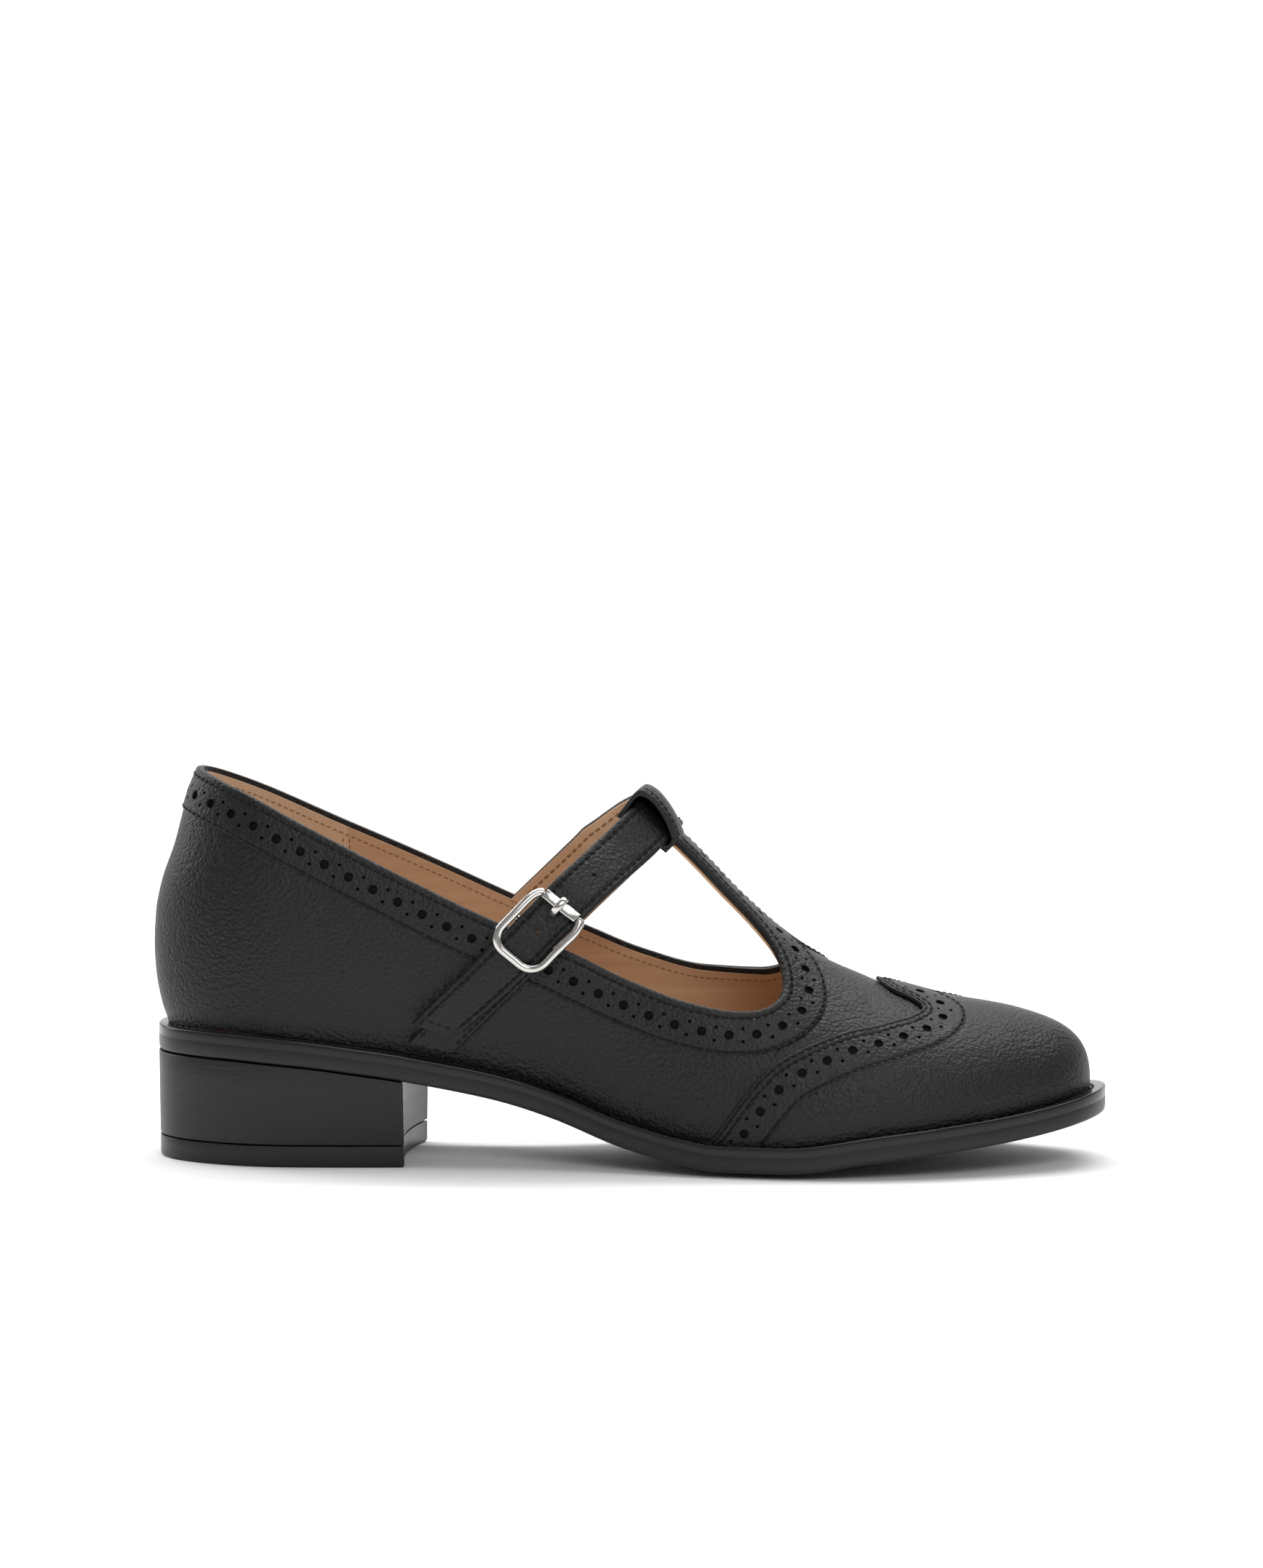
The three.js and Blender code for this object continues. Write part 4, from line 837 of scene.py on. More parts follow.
def shell_stations(margin=0):
    """The stations of a side's quarter and of its vamp, which ends just behind the tip."""
    end = throat_front + margin - section_start
    tip = last_tip - section_start
    quarter = [place_of(lerp(-heel_pace, end, i / 120)) for i in range(121)]
    vamp = [lerp(end, tip - tip_gap, 1 - (1 - i / 70) ** 1.9) for i in range(71)]
    return quarter, vamp


def lay_shell(sheet, side, margin, rows, upper_rows, offset):
    """Adds one side of the upper's skin, with offset(point) giving its distance off the last."""
    quarter, vamp = shell_stations(margin)
    seam = throat_share_at[side, margin]

    def skin(station, t):
        return off_last(station, t, side, offset(last_point(station, t, side)))
    tops = [topline_share(s, side, margin) for s in quarter[:-1]] + [seam]
    lay(sheet, len(quarter) - 1, rows, lambda i, j: skin(quarter[i], tops[i] * j / rows))
    lay(sheet, len(vamp) - 1, rows, lambda i, j: skin(vamp[i], seam * j / rows))
    lay(sheet, len(vamp) - 1, upper_rows, lambda i, j: skin(vamp[i], lerp(seam, 1, j / upper_rows)))
    lay(sheet, 50, upper_rows, lambda i, j: skin(*bar_place(i / 50, j / upper_rows, side, margin)))


band_width = 12.3
upper_skin = bmesh.new()


def under_band(p):
    """The skin dives under the collar's band, so that the band's punched holes are deep."""
    return -1.1 * (1 - clamp((edge_tree.find(p)[2] - band_width + 1.3) / 0.7, 0, 1))


for side in (outer_side, inner_side):
    lay_shell(upper_skin, side, 0, 60, 20, under_band)
thicken(upper_skin, 0.5)
finish_piece("upper_skin", upper_skin, [grained_calf], ["upper"])

# ---- Collar band
# A folded band of the same calf, 12 mm wide, is sewn round the opening with two rows of stitches.
# It is punched with a brogue row: holes of 2.6 mm with pairs of 1 mm holes between them.
big_hole, small_hole = 1.3, 0.5
hole_line, hole_cell, pitch_cells = 6.9, 0.63, 12


def walk_in(q, t, side, way, length, steps):
    """A line over the last from a place on an edge, as places (q, t) at equal distances."""
    line = [(q, t)]
    for _ in range(steps):
        if t >= 1 or t <= 0 and len(line) > 1:
            line.append(line[-1])
            continue
        here = last_point(place_of(q), t, side)
        forward = 0.25 if q < last_tip - section_start - 0.3 else -0.25
        rise = 0.004 if t < 0.99 else -0.004
        by_q = (last_point(place_of(q + forward), t, side) - here) / forward
        by_t = (last_point(place_of(q), t + rise, side) - here) / rise
        normal = last_normal(place_of(q), t, side)
        way = (way - normal * way.dot(normal)).normalized()
        a, b, c = by_q.dot(by_q), by_q.dot(by_t), by_t.dot(by_t)
        e, f = by_q.dot(way), by_t.dot(way)
        det = a * c - b * b
        pace = length / steps
        dq, dt = (e * c - b * f) / det * pace, (a * f - b * e) / det * pace
        if t + dt > 1:
            dq, dt = dq * (1 - t) / dt, 1 - t
        if t + dt < 0:
            dq, dt = dq * t / -dt, -t
        q, t = clamp(q + dq, -heel_pace, last_tip - section_start), clamp(t + dt, 0, 1)
        line.append((q, t))
    return line


class Band:
    """A strip of leather along an edge of the last, measured along the row of its holes."""
    steps = 10

    def __init__(self, side, path, width, row, cell):
        self.side, self.width = side, width
        points = [last_point(place_of(q), t, side) for q, t in path]
        lines = []
        for i, (q, t) in enumerate(path):
            run = points[min(len(points) - 1, i + 1)] - points[max(0, i - 1)]
            if place_of(q) <= -1:
                run.x = run.z = 0
            normal = last_normal(place_of(q), t, side)
            way = normal.cross(run.normalized()) * side
            lines.append(walk_in(q, t, side, way, width, self.steps))
        rows = [self.spot_on(line, row) for line in lines]
        spots = [last_point(place_of(q), t, side) for q, t in rows]
        runs = [0.0]
        for a, b in zip(spots, spots[1:]):
            runs.append(runs[-1] + max(1e-4, (b - a).length))
        self.columns = int(runs[-1] / cell)
        self.cell = runs[-1] / self.columns
        self.lines = []
        for k in range(self.columns + 1):
            i = clamp(bisect.bisect_left(runs, k * self.cell) - 1, 0, len(lines) - 2)
            f = clamp((k * self.cell - runs[i]) / (runs[i + 1] - runs[i]), 0, 1)
            self.lines.append([(lerp(a[0], b[0], f), lerp(a[1], b[1], f)) for a,
                               b in zip(lines[i], lines[i + 1])])

    def spot_on(self, line, s):
        at = clamp(s / self.width * self.steps, 0, self.steps - 1e-6)
        k = int(at)
        return tuple(lerp(a, b, at - k) for a, b in zip(line[k], line[k + 1]))

    def spot(self, column, s):
        """The place (q, t) at a column and a distance from the edge."""
        i = clamp(int(column), 0, self.columns - 1)
        a, b = self.spot_on(self.lines[i], s), self.spot_on(self.lines[i + 1], s)
        return tuple(lerp(u, v, clamp(column - i, 0, 1)) for u, v in zip(a, b))

    def point(self, column, s, offset):
        """The point at a column, a distance from the edge and an offset from the last."""
        q, t = self.spot(column, s)
        return off_last(place_of(q), t, self.side, offset)

    def reach(self, column):
        """How far from the edge the strip stays below the ridge."""
        line = self.lines[clamp(column, 0, self.columns)]
        inside = sum(1 for _, t in line if t < 0.999)
        return self.width if inside > self.steps else inside * self.width / self.steps

    def line(self, s, offset, first=0, last=None):
        """Points and normals along the strip at one distance from the edge."""
        found = []
        for k in range(first, (self.columns if last is None else last) + 1):
            q, t = self.spot(k, s)
            found.append((self.point(k, s, offset), last_normal(place_of(q), t, self.side)))
        return found


def lay_band(sheet, band, profile, holes, depth):
    """Adds a strip through a profile of (distance from the edge, offset), with blind round holes.
    A hole is (column, distance from the edge, radius, cells from its middle to its rim)."""
    girth = [0.0]
    for (s0, o0), (s1, o1) in zip(profile, profile[1:]):
        girth.append(girth[-1] + math.hypot(s1 - s0, o1 - o0))
    flat = lay(sheet, band.columns, len(profile) - 1, lambda i, j: (i * band.cell, girth[j], 0))
    top = profile[len(profile) // 2][1]
    floors = set()
    for column, s, radius, half in holes:
        row = min(range(len(profile)), key=lambda j: abs(profile[j][0] - s) + 9 * (profile[j][1] < top - 0.1))
        middle = Vector((column * band.cell, girth[row], 0))
        block = [flat[column + a, row + b] for a in range(-half, half + 1) for b in range(-half, half + 1)]
        for a in range(-half, half + 1):
            for b in range(-half, half + 1):
                ring = max(abs(a), abs(b))
                turn = math.atan2(b, a)
                flat[column + a, row + b].co = middle + Vector((math.cos(turn), math.sin(turn),
                                                                0)) * radius * ring / half
        inside = set(block)
        floors.update(f for v in block for f in v.link_faces if all(w in inside for w in f.verts))
    # The holes' floors take the second material, which is painted dark as shade.
    for face in floors:
        face.material_index = 1
    raised = bmesh.ops.extrude_face_region(sheet, geom=list(floors))["geom"]
    sunk = [g for g in raised if isinstance(g, bmesh.types.BMVert)]
    bmesh.ops.delete(sheet, geom=list(floors), context="FACES")
    for vertex in sunk:
        vertex.co.z -= depth
    for vertex in {v for v in [*flat.values(), *sunk] if v.is_valid}:
        j = clamp(bisect.bisect_right(girth, vertex.co.y) - 1, 0, len(girth) - 2)
        f = clamp((vertex.co.y - girth[j]) / (girth[j + 1] - girth[j]), 0, 1)
        s, offset = (lerp(a, b, f) for a, b in zip(profile[j], profile[j + 1]))
        vertex.co = band.point(vertex.co.x / band.cell, s, offset + vertex.co.z)


def brogue_row(band, first, row, small_step, single):
    """The holes of a brogue row: big ones at a pitch, and a pair of small ones between each two."""
    holes = []
    for column in range(first, band.columns - 3, pitch_cells):
        reach = band.reach(column)
        if reach > row + 2.2:
            holes.append((column, row, big_hole, 2))
        elif single and reach > 4.4:
            holes.append((column, max(3.9 + 1.2, row - 0.6 * round((row - reach + 1.9) / 0.6)),
                          big_hole * 0.9, 2))
        between = column + pitch_cells // 2
        if between < band.columns - 3 and band.reach(between) > row + small_step + 1.4:
            holes += [(between, row - small_step, small_hole, 1),
                      (between, row + small_step, small_hole, 1)]
    return holes


cell = 0.6
collar_rows = [(12.3, -0.5), (12.3, 0.22), (12.18, 0.34), (12.0, 0.4), (11.85, 0.3), (11.6, 0.14),
               (11.35, 0.3), (11.15, 0.4), (10.5, 0.4)]
collar_rows += [(hole_line + cell * k, 0.4) for k in range(5, -6, -1)]
collar_rows += [(3.3, 0.4), (2.7, 0.4), (2.4, 0.3), (2.1, 0.12), (1.8, 0.3), (1.5, 0.4), (1.0, 0.36)]
edge_middle, edge_half = -0.65, 1.05
for k in range(1, 9):
    turn = math.pi * k / 9
    collar_rows.append((0.95 * (1 - math.sin(turn)), edge_middle + edge_half * math.cos(turn)))
collar_rows += [(0.95, edge_middle - edge_half), (2.6, edge_middle - edge_half)]

# pitch, length and width of the stitches along the edges
edge_stitch = (2.3, 1.75, 0.75)
collar = bmesh.new()
collar_thread = bmesh.new()
bands = {}
for side in (outer_side, inner_side):
    band = Band(side, opening_paths[side], band_width, hole_line, hole_cell)
    bands[side] = band
    lay_band(collar, band, collar_rows, brogue_row(band, 6, hole_line, 1.8, side == outer_side), 0.95)
    sew(collar_thread, band.line(2.1, 0.36), *edge_stitch)
    lower = [k for k in range(band.columns + 1) if band.reach(k) > 11.9]
    sew(collar_thread, band.line(11.6, 0.36, lower[0], lower[-1]), *edge_stitch)

# The floors under the punched holes: black, matt leather, painted darker than the calf round it as painted shade
# inside the holes.
painted_shade_backing = new_material("hole_backing")
place = add(painted_shade_backing, "TexCoord").outputs["Object"]
nap = noise(painted_shade_backing, place, 1 / 0.0004, 2.0)
tone = blend(painted_shade_backing, nap, "#020202", "#070707")
show(painted_shade_backing, {
    "Base Color": tone, "Roughness": 0.8, "Specular IOR Level": 0.2})
finish_piece("collar_band", collar, [grained_calf, painted_shade_backing], sharp=50)
finish_piece("collar_stitching", collar_thread, [waxed_thread])

# ---- Lining
# The lining is tan calf, glued inside the upper, cut just under the folded edge and held there by a
# row of stitches. Behind an upright seam the heel is lined with canvas of the same colour.

# Cotton canvas, plain woven: tan, matt, with threads about 0.7 mm apart that show as a fine grid.
canvas_lining = new_material("canvas_lining")
place = add(canvas_lining, "TexCoord").outputs["Object"]
warp = add(canvas_lining, "TexWave", {"Vector": place, "Scale": 1 / 0.0022, "Distortion": 0.4},
           bands_direction="Z")
weft = add(canvas_lining, "TexWave", {"Vector": place, "Scale": 1 / 0.0022, "Distortion": 0.4},
           bands_direction="X")
weave = add(canvas_lining, "Math", {0: warp.outputs["Fac"], 1: weft.outputs["Fac"]}, operation="MULTIPLY")
fuzz = noise(canvas_lining, place, 1 / 0.0008, 3.0)
mixed = add(canvas_lining, "Math", {0: weave.outputs[0], 1: fuzz}, operation="ADD")
tone = blend(canvas_lining, mixed.outputs[0], "#bd9b7d", "#d8b999")
bump = add(canvas_lining, "Bump", {"Height": mixed.outputs[0], "Strength": 0.35, "Distance": 0.0001})
show(canvas_lining, {
    "Base Color": tone, "Roughness": 0.85, "Normal": bump.outputs[0], "Sheen Weight": 0.2})

lining_seam = 16
lining = bmesh.new()
for side in (outer_side, inner_side):
    lay_shell(lining, side, lining_margin, 40, 12,
              lambda p: -1.5 - 0.5 * clamp((p.z - 52) / 12, 0, 1) * (p.x > 100))
thicken(lining, 0.7)
for face in lining.faces:
    face.material_index = 1 if face.calc_center_median().x < lining_seam else 0
finish_piece("upper_lining", lining, [tan_calf, canvas_lining])

lining_thread = bmesh.new()
for side in (outer_side, inner_side):
    sew(lining_thread, [(p, -n) for p, n in bands[side].line(3.6, -2.22)], 1.9, 1.4, 0.4)
    seam_station = lining_seam - section_start
    seam_top = topline_share(seam_station, side, 3.5)
    for shift in (-0.9, 0.9):
        seam = [(off_last(seam_station + shift, seam_top * k / 30, side, -2.22),
                 -last_normal(seam_station, seam_top * k / 30, side))
                for k in range(31)]
        sew(lining_thread, seam, 1.9, 1.4, 0.35)

# The lining's thread: the same polyester in brown.
tan_thread = waxed_thread.copy()
tan_thread.name = "tan_thread"
for node in tan_thread.node_tree.nodes:
    if node.type == "MIX":
        node.inputs["A"].default_value, node.inputs["B"].default_value = linear("#6d5138"), linear("#95714f")
finish_piece("lining_stitching", lining_thread, [tan_thread])

# ---- Wing cap
# The toe is covered by a wing cap of the same calf. Its back edge rises from the welt in a curve and
# comes to a point on the ridge; behind a brogue row a second line of stitches holds it down.

# share of the way up the last, share of the sole's length
wing_line = [(0.00, 0.588), (0.11, 0.605), (0.22, 0.625), (0.33, 0.653), (0.41, 0.687), (0.48, 0.731),
             (0.56, 0.772),
             (0.64, 0.799), (0.72, 0.809), (0.78, 0.80), (0.85, 0.776), (1.00, 0.758)]
wing_at = curve_of(wing_line, 1)
wing_paths = [(along(wing_at(k / 160)) - section_start, k / 160) for k in range(161)]
wing_trees = {}
for side in (outer_side, inner_side):
    tree = kdtree.KDTree(len(wing_paths))
    for k, (station, t) in enumerate(wing_paths):
        tree.insert(last_point(station, t, side), k)
    tree.balance()
    wing_trees[side] = tree

cap = bmesh.new()
cap_columns, cap_rows = 110, 64
for side in (outer_side, inner_side):
    def on_cap(i, j, side=side):
        t = j / cap_rows
        f = 1 - (1 - i / cap_columns) ** 1.5
        station = lerp(along(wing_at(t)), last_tip, f) - section_start
        low = 1 - clamp((wing_trees[side].find(last_point(station, t, side))[2] - 11.2) / 0.7, 0, 1)
        return off_last(station, t, side, 1.28 - 0.75 * low)
    lay(cap, cap_columns, cap_rows, on_cap)
finish_piece("wing_cap_leather", cap, [grained_calf], ["wing_cap"])

wing_width, wing_row = 12.4, 6.2
wing_rows = [(12.4, 0.7), (12.4, 1.28), (12.3, 1.38), (12.1, 1.42), (11.95, 1.32), (11.7, 1.16),
             (11.45, 1.32), (11.2, 1.42), (10.4, 1.42), (9.8, 1.42)]
wing_rows += [(wing_row + cell * k, 1.42) for k in range(5, -6, -1)]
wing_rows += [(2.8, 1.32), (2.55, 1.16), (2.3, 1.32), (2.05, 1.42), (1.35, 1.42), (1.2, 1.34),
              (0.95, 1.18), (0.7, 1.34), (0.5, 1.4),
              (0.2, 1.3), (0.05, 1.1), (0.0, 0.8), (0.0, 0.35)]
wing_band = bmesh.new()
wing_thread = bmesh.new()
for side in (outer_side, inner_side):
    band = Band(side, wing_paths, wing_width, wing_row, hole_cell)
    lay_band(wing_band, band, wing_rows, brogue_row(band, 9, wing_row, 1.8, False), 0.8)
    for s in (0.95, 2.55):
        sew(wing_thread, band.line(s, 1.38), 2.3, 1.75, 0.7)
    lower = [k for k in range(band.columns + 1) if band.reach(k) > 11.8]
    sew(wing_thread, band.line(11.7, 1.38, lower[0], lower[-1]), 2.3, 1.75, 0.7)
finish_piece("wing_band", wing_band, [grained_calf, painted_shade_backing], sharp=50)
finish_piece("wing_stitching", wing_thread, [waxed_thread])

# ---- Strap
# The strap is black calf on a tan lining, 13 mm wide and 2 mm thick. It is sewn into the inner
# quarter, goes through the loop and hangs down the outer side through the buckle.
strap_thickness, strap_half_width, strap_lift = 2, 6.4, 2.8
strap_tip_reach, strap_tip_slant, strap_tip_corner = 40.5, 4.3, 3.2

# distance from the buckle's centre as a share of the tip's reach, rear edge, front edge
strap_edges = [(-2.0, 1.9, 1.05), (-1.7, 1.5, 1.05), (-1.55, 1.24, 1.06), (-1.4, 1.1, 1.06),
               (-0.95, 1.06, 1.06), (-0.3, 1, 1), (0.25, 1, 0.97),
               (1, 1.04, 0.66)]
strap_stand = [(-2.1, -0.76), (-1.9, -0.3), (-1.7, 0.4), (-1.55, 0.5), (-1.4, -0.3), (-1.25, -0.95),
               (-1.12, -1.12),
               (-1.0, -1.0), (-0.75, -0.3), (-0.55, 0.4), (-0.33, 1), (1, 1)]
strap_rear = curve_of(strap_edges, 1)
strap_front = curve_of(strap_edges, 2)
stand_at = curve_of(strap_stand, 1)

plane_step = strap_half_width * 3.8 / 8
strap_planes = [strap_half_width * -2.2 + plane_step * k for k in range(9)]
strap_curves = []
for across in strap_planes:
    turns = [lerp(-0.75, 0.97, k / 60) for k in range(61)]
    spots = []
    for turn in turns:
        side = inner_side if turn < 0 else outer_side
        spots.append(last_point(station_across(across, 1 - abs(turn), side), 1 - abs(turn), side))
    lengths = [0.0]
    for a, b in zip(spots, spots[1:]):
        lengths.append(lengths[-1] + (b - a).length)
    crest = curve_through(turns, lengths)(0)
    strap_curves.append(curve_through([length - crest for length in lengths], turns))

table_start, table_step, table_count = -112, 2.0, 110
strap_table = []
for across, curve in zip(strap_planes, strap_curves):
    rows = []
    for k in range(table_count):
        turn = curve(table_start + table_step * k)
        side = inner_side if turn < 0 else outer_side
        t = 1 - abs(turn)
        station = station_across(across, t, side)
        rows.append((last_point(station, t, side), last_normal(station, t, side)))
    strap_table.append(rows)


def strap_point(length, across, offset):
    """A point over the last by its length from the ridge, its distance across the strap and its offset."""
    column = clamp((across - strap_planes[0]) / plane_step, 0, 7.999)
    row = clamp((length - table_start) / table_step, 1, table_count - 3)
    i, k = int(column), int(row)
    f, g = column - i, row - k
    weights = [-0.5 * g + g * g - 0.5 * g ** 3, 1 - 2.5 * g * g + 1.5 * g ** 3,
               0.5 * g + 2 * g * g - 1.5 * g ** 3, -0.5 * g * g + 0.5 * g ** 3]
    base, normal = Vector((0, 0, 0)), Vector((0, 0, 0))
    for weight, j in zip(weights, (k - 1, k, k + 1, k + 2)):
        (p0, n0), (p1, n1) = strap_table[i][j], strap_table[i + 1][j]
        base += p0.lerp(p1, f) * weight
        normal += n0.lerp(n1, f) * weight
    return base + normal.normalized() * offset


def strap_length(across, low, high, is_past):
    """The length along the strap at which a row of the last passes a test."""
    return halve(low, high, lambda length: is_past(strap_point(length, across, 0)))


buckle_length = strap_length(0, 0, sole_length / 2, lambda p: (p - buckle_spot).dot(strap_up) < 0)


def strap_under(length):
    """The offset of the strap's underside from the last."""
    return strap_lift * stand_at((length - buckle_length) / strap_tip_reach)


def across_at(length, v):
    """The distance across the strap's line: v from its rear edge to its front one."""
    place = (length - buckle_length) / strap_tip_reach
    return strap_half_width * lerp(-strap_rear(place), strap_front(place), v)


def strap_root(v):
    """Where the strap leaves the inner quarter's edge."""
    length = -strap_tip_reach
    for _ in range(5):
        edge = across_at(length, v)
        length = strap_length(edge, -sole_length / 4, 0,
                              lambda p: p.z > clearance + collar_top * line_height[inner_side](share(p.x)))
    return length


def strap_end(v):
    """Where the slanted tip ends, with its front corner rounded off."""
    corner = max(0, v - 0.75) / 0.25
    return buckle_length + strap_tip_reach - strap_tip_slant * v - strap_tip_corner * corner ** 1.5


strap_roots = [strap_root(k / 8) for k in range(9)]
root_curve = curve_through([k / 8 for k in range(9)], strap_roots)

# The strap's outline round its section: share across and share of the thickness from its underside
strap_section = [(0.02, 0), (0.5, 0), (0.98, 0), (0.992, 0.04), (1, 0.2), (1, 0.62), (0.985, 0.84),
                 (0.955, 0.96), (0.91, 1)]
top_steps = 16
strap_section += [(lerp(0.91, 0.09, k / top_steps), 1.0) for k in range(1, top_steps)]
strap_section += [(0.09, 1), (0.045, 0.96), (0.015, 0.84), (0, 0.62), (0, 0.2), (0.008, 0.04)]
for k, (v, up) in enumerate(strap_section):
    for groove in (0.135, 0.865):
        if up >= 1 and abs(v - groove) < 0.03:
            strap_section[k] = (v, 0.84)


def on_strap(f, v, up):
    """A place of the strap: f from its root to its tip."""
    length = lerp(root_curve(v), strap_end(v), f)
    return strap_point(length, across_at(length, v), strap_under(length) + strap_thickness * up)


strap = bmesh.new()
strap_columns = 150
count = len(strap_section)
lay(strap, strap_columns, count, lambda i, j: on_strap(i / strap_columns, *strap_section[j % count]))
close_ends(strap)
bmesh.ops.recalc_face_normals(strap, faces=strap.faces)


def punch(name, sheet, spots, radius, material):
    """Cuts round holes square through a strap's leather."""
    piece = finish_piece(name, sheet, material)
    cutter = bmesh.new()
    for foot, up in spots:
        turn = up.to_track_quat("Z", "Y").to_matrix().to_4x4()
        bmesh.ops.create_cone(cutter, cap_ends=True, segments=20, radius1=radius, radius2=radius, depth=8,
                              matrix=Matrix.Translation(foot) @ turn)
    bmesh.ops.scale(cutter, vec=(0.001, 0.001, 0.001), verts=cutter.verts)
    tool_mesh = bpy.data.meshes.new(name + "_punch")
    cutter.to_mesh(tool_mesh)
    cutter.free()
    tool = bpy.data.objects.new(name + "_punch", tool_mesh)
    bpy.context.scene.collection.objects.link(tool)
    cut = piece.modifiers.new("holes", "BOOLEAN")
    cut.object = tool
    cut.solver = "EXACT"
    bpy.context.view_layer.update()
    graph = bpy.context.evaluated_depsgraph_get()
    result = bpy.data.meshes.new_from_object(piece.evaluated_get(graph))
    piece.modifiers.clear()
    piece.data = result
    bpy.data.objects.remove(tool)
    return piece


strap_spots = []
frame_length, wire_width, roller_side = 20.6, 2.3, 2.6
bar_place_up = -(frame_length - wire_width) / 2
prong_thickness, prong_width = 0.9, 2
hole_from_buckle = bar_place_up - roller_side / 2 - clearance - prong_thickness / 2
hole_pitch, spare_hole_radius = 10.4, 0.62
for distance in (hole_from_buckle + hole_pitch, hole_from_buckle - hole_pitch):
    length = buckle_length + distance
    middle = strap_point(length, 0, strap_under(length) + strap_thickness / 2)
    top = strap_point(length, 0, strap_under(length) + strap_thickness * 2)
    strap_spots.append((middle, (top - middle).normalized()))
strap_piece = punch("strap_leather", strap, strap_spots, spare_hole_radius, [grained_calf])
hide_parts("strap")

# The strap's lining is a thinner strip of tan calf under the black one, flush with its edges.
strap_lining = bmesh.new()
lining_section = [(0.03, -0.32), (0.25, -0.34), (0.5, -0.34), (0.75, -0.34), (0.97, -0.32), (0.985, -0.2),
                  (0.985, -0.02), (0.5, -0.02), (0.015, -0.02), (0.015, -0.2)]
count = len(lining_section)
lay(strap_lining, strap_columns, count,
    lambda i, j: on_strap(lerp(-0.012, 0.992, i / strap_columns), lining_section[j % count][0],
                          lining_section[j % count][1] * 0.9))
close_ends(strap_lining)
finish_piece("strap_lining", strap_lining, [tan_calf])

# pitch, length and width of the strap's stitches
strap_stitch = (2.4, 1.85, 0.75)
strap_thread = bmesh.new()
strap_back_thread = bmesh.new()
for v in (0.135, 0.865):
    for thread, up, turn in ((strap_thread, 0.95, 1), (strap_back_thread, -0.31, -1)):
        run = []
        for k in range(161):
            p = on_strap(lerp(0.004, 0.99, k / 160), v, up)
            q = on_strap(lerp(0.004, 0.99, k / 160), v, up + turn)
            run.append((p, (q - p).normalized()))
        sew(thread, run, *strap_stitch)
tip_run = []
for k in range(21):
    p, q = on_strap(0.982, lerp(0.135, 0.865, k / 20), 0.97), on_strap(0.982, lerp(0.135, 0.865, k / 20), 2)
    tip_run.append((p, (q - p).normalized()))
sew(strap_thread, tip_run, *strap_stitch)
finish_piece("strap_stitching", strap_thread, [waxed_thread])
finish_piece("strap_lining_stitching", strap_back_thread, [tan_thread])

# ---- Loop
# The loop is a stiff sleeve of black calf at the top of the bar. Its upper layer arches over the
# strap, its lower layer lies close under it, and both ends are bound with a thin folded rim.
loop_wall, loop_length, loop_rise, loop_droop, loop_floor_share = 1.3, 15, 3.9, 1.6, 0.85
loop_arch = [(1.0, -0.1), (0.96, 0.15), (0.73, 0.41), (0.34, 0.72), (-0.06, 0.92), (-0.45, 1.0),
             (-0.73, 0.92), (-0.96, 0.62),
             (-1.0, 0.18)]
crest_station = station_across(0, 1, outer_side)
crest_up = (last_point(crest_station, 1, outer_side) - buckle_spot).dot(strap_up)
arch_across = curve_through(list(range(9)), [r[0] for r in loop_arch])
arch_rise = curve_through(list(range(9)), [r[1] for r in loop_arch])


def under_strap(across, y, depth):
    """How far up the strap's slope the loop's lower layer runs."""
    near, far = 0.0, loop_length * 1.5 * (1 if y < 0 else -1)
    for _ in range(18):
        length = (near + far) / 2
        if abs(strap_point(length, across, strap_under(length) - depth).y) > abs(y):
            far = length
        else:
            near = length
    return (strap_point(near, across, strap_under(near) - depth) - buckle_spot).dot(strap_up)


def on_loop(y, narrower, k):
    """A place of the loop's section: k from 0 to 8 over the arch and from 8 to 16 under the strap."""
    half = loop_width / 2 - narrower
    droop = (2 * y / loop_length) ** 2
    if k <= 8:
        across, up, at = arch_across(k) * half, crest_up + arch_rise(k) * loop_rise - narrower - loop_droop * droop, y
    else:
        at = y * loop_floor_share
        across = lerp(-half, half, (k - 8) / 8)
        up = under_strap(across, at, clearance + loop_wall - narrower)
    return Vector((0, at, 0)) + buckle_spot + strap_across * across + strap_up * up


loop_ring = [k * 8 / 32 for k in range(33)] + [8 + k * 8 / 15 for k in range(15)] + [16]
loop_run = [(-7.15, 0), (-5, 0), (-2.5, 0), (0, 0), (2.5, 0), (5, 0), (7.15, 0), (7.4, 0.16), (7.5, 0.6),
            (7.4, 1.14), (7.15, 1.3),
            (5, 1.3), (2.5, 1.3), (0, 1.3), (-2.5, 1.3), (-5, 1.3), (-7.15, 1.3), (-7.4, 1.14),
            (-7.5, 0.6), (-7.4, 0.16)]
loop = bmesh.new()
ring_count, run_count = len(loop_ring), len(loop_run)
lay(loop, ring_count, run_count, lambda i, j: on_loop(*loop_run[j % run_count], loop_ring[i % ring_count]))
finish_piece("loop_sleeve", loop, [grained_calf], ["strap_loop"])
loop_thread = bmesh.new()
for y in (-5.6, 5.6):
    run = []
    for k in range(3, 31):
        p = on_loop(y, -0.02, k * 8 / 32)
        run.append((p, (on_loop(y, -1.0, k * 8 / 32) - p).normalized()))
    sew(loop_thread, run, 1.9, 1.4, 0.42)
finish_piece("loop_stitching", loop_thread, [waxed_thread])
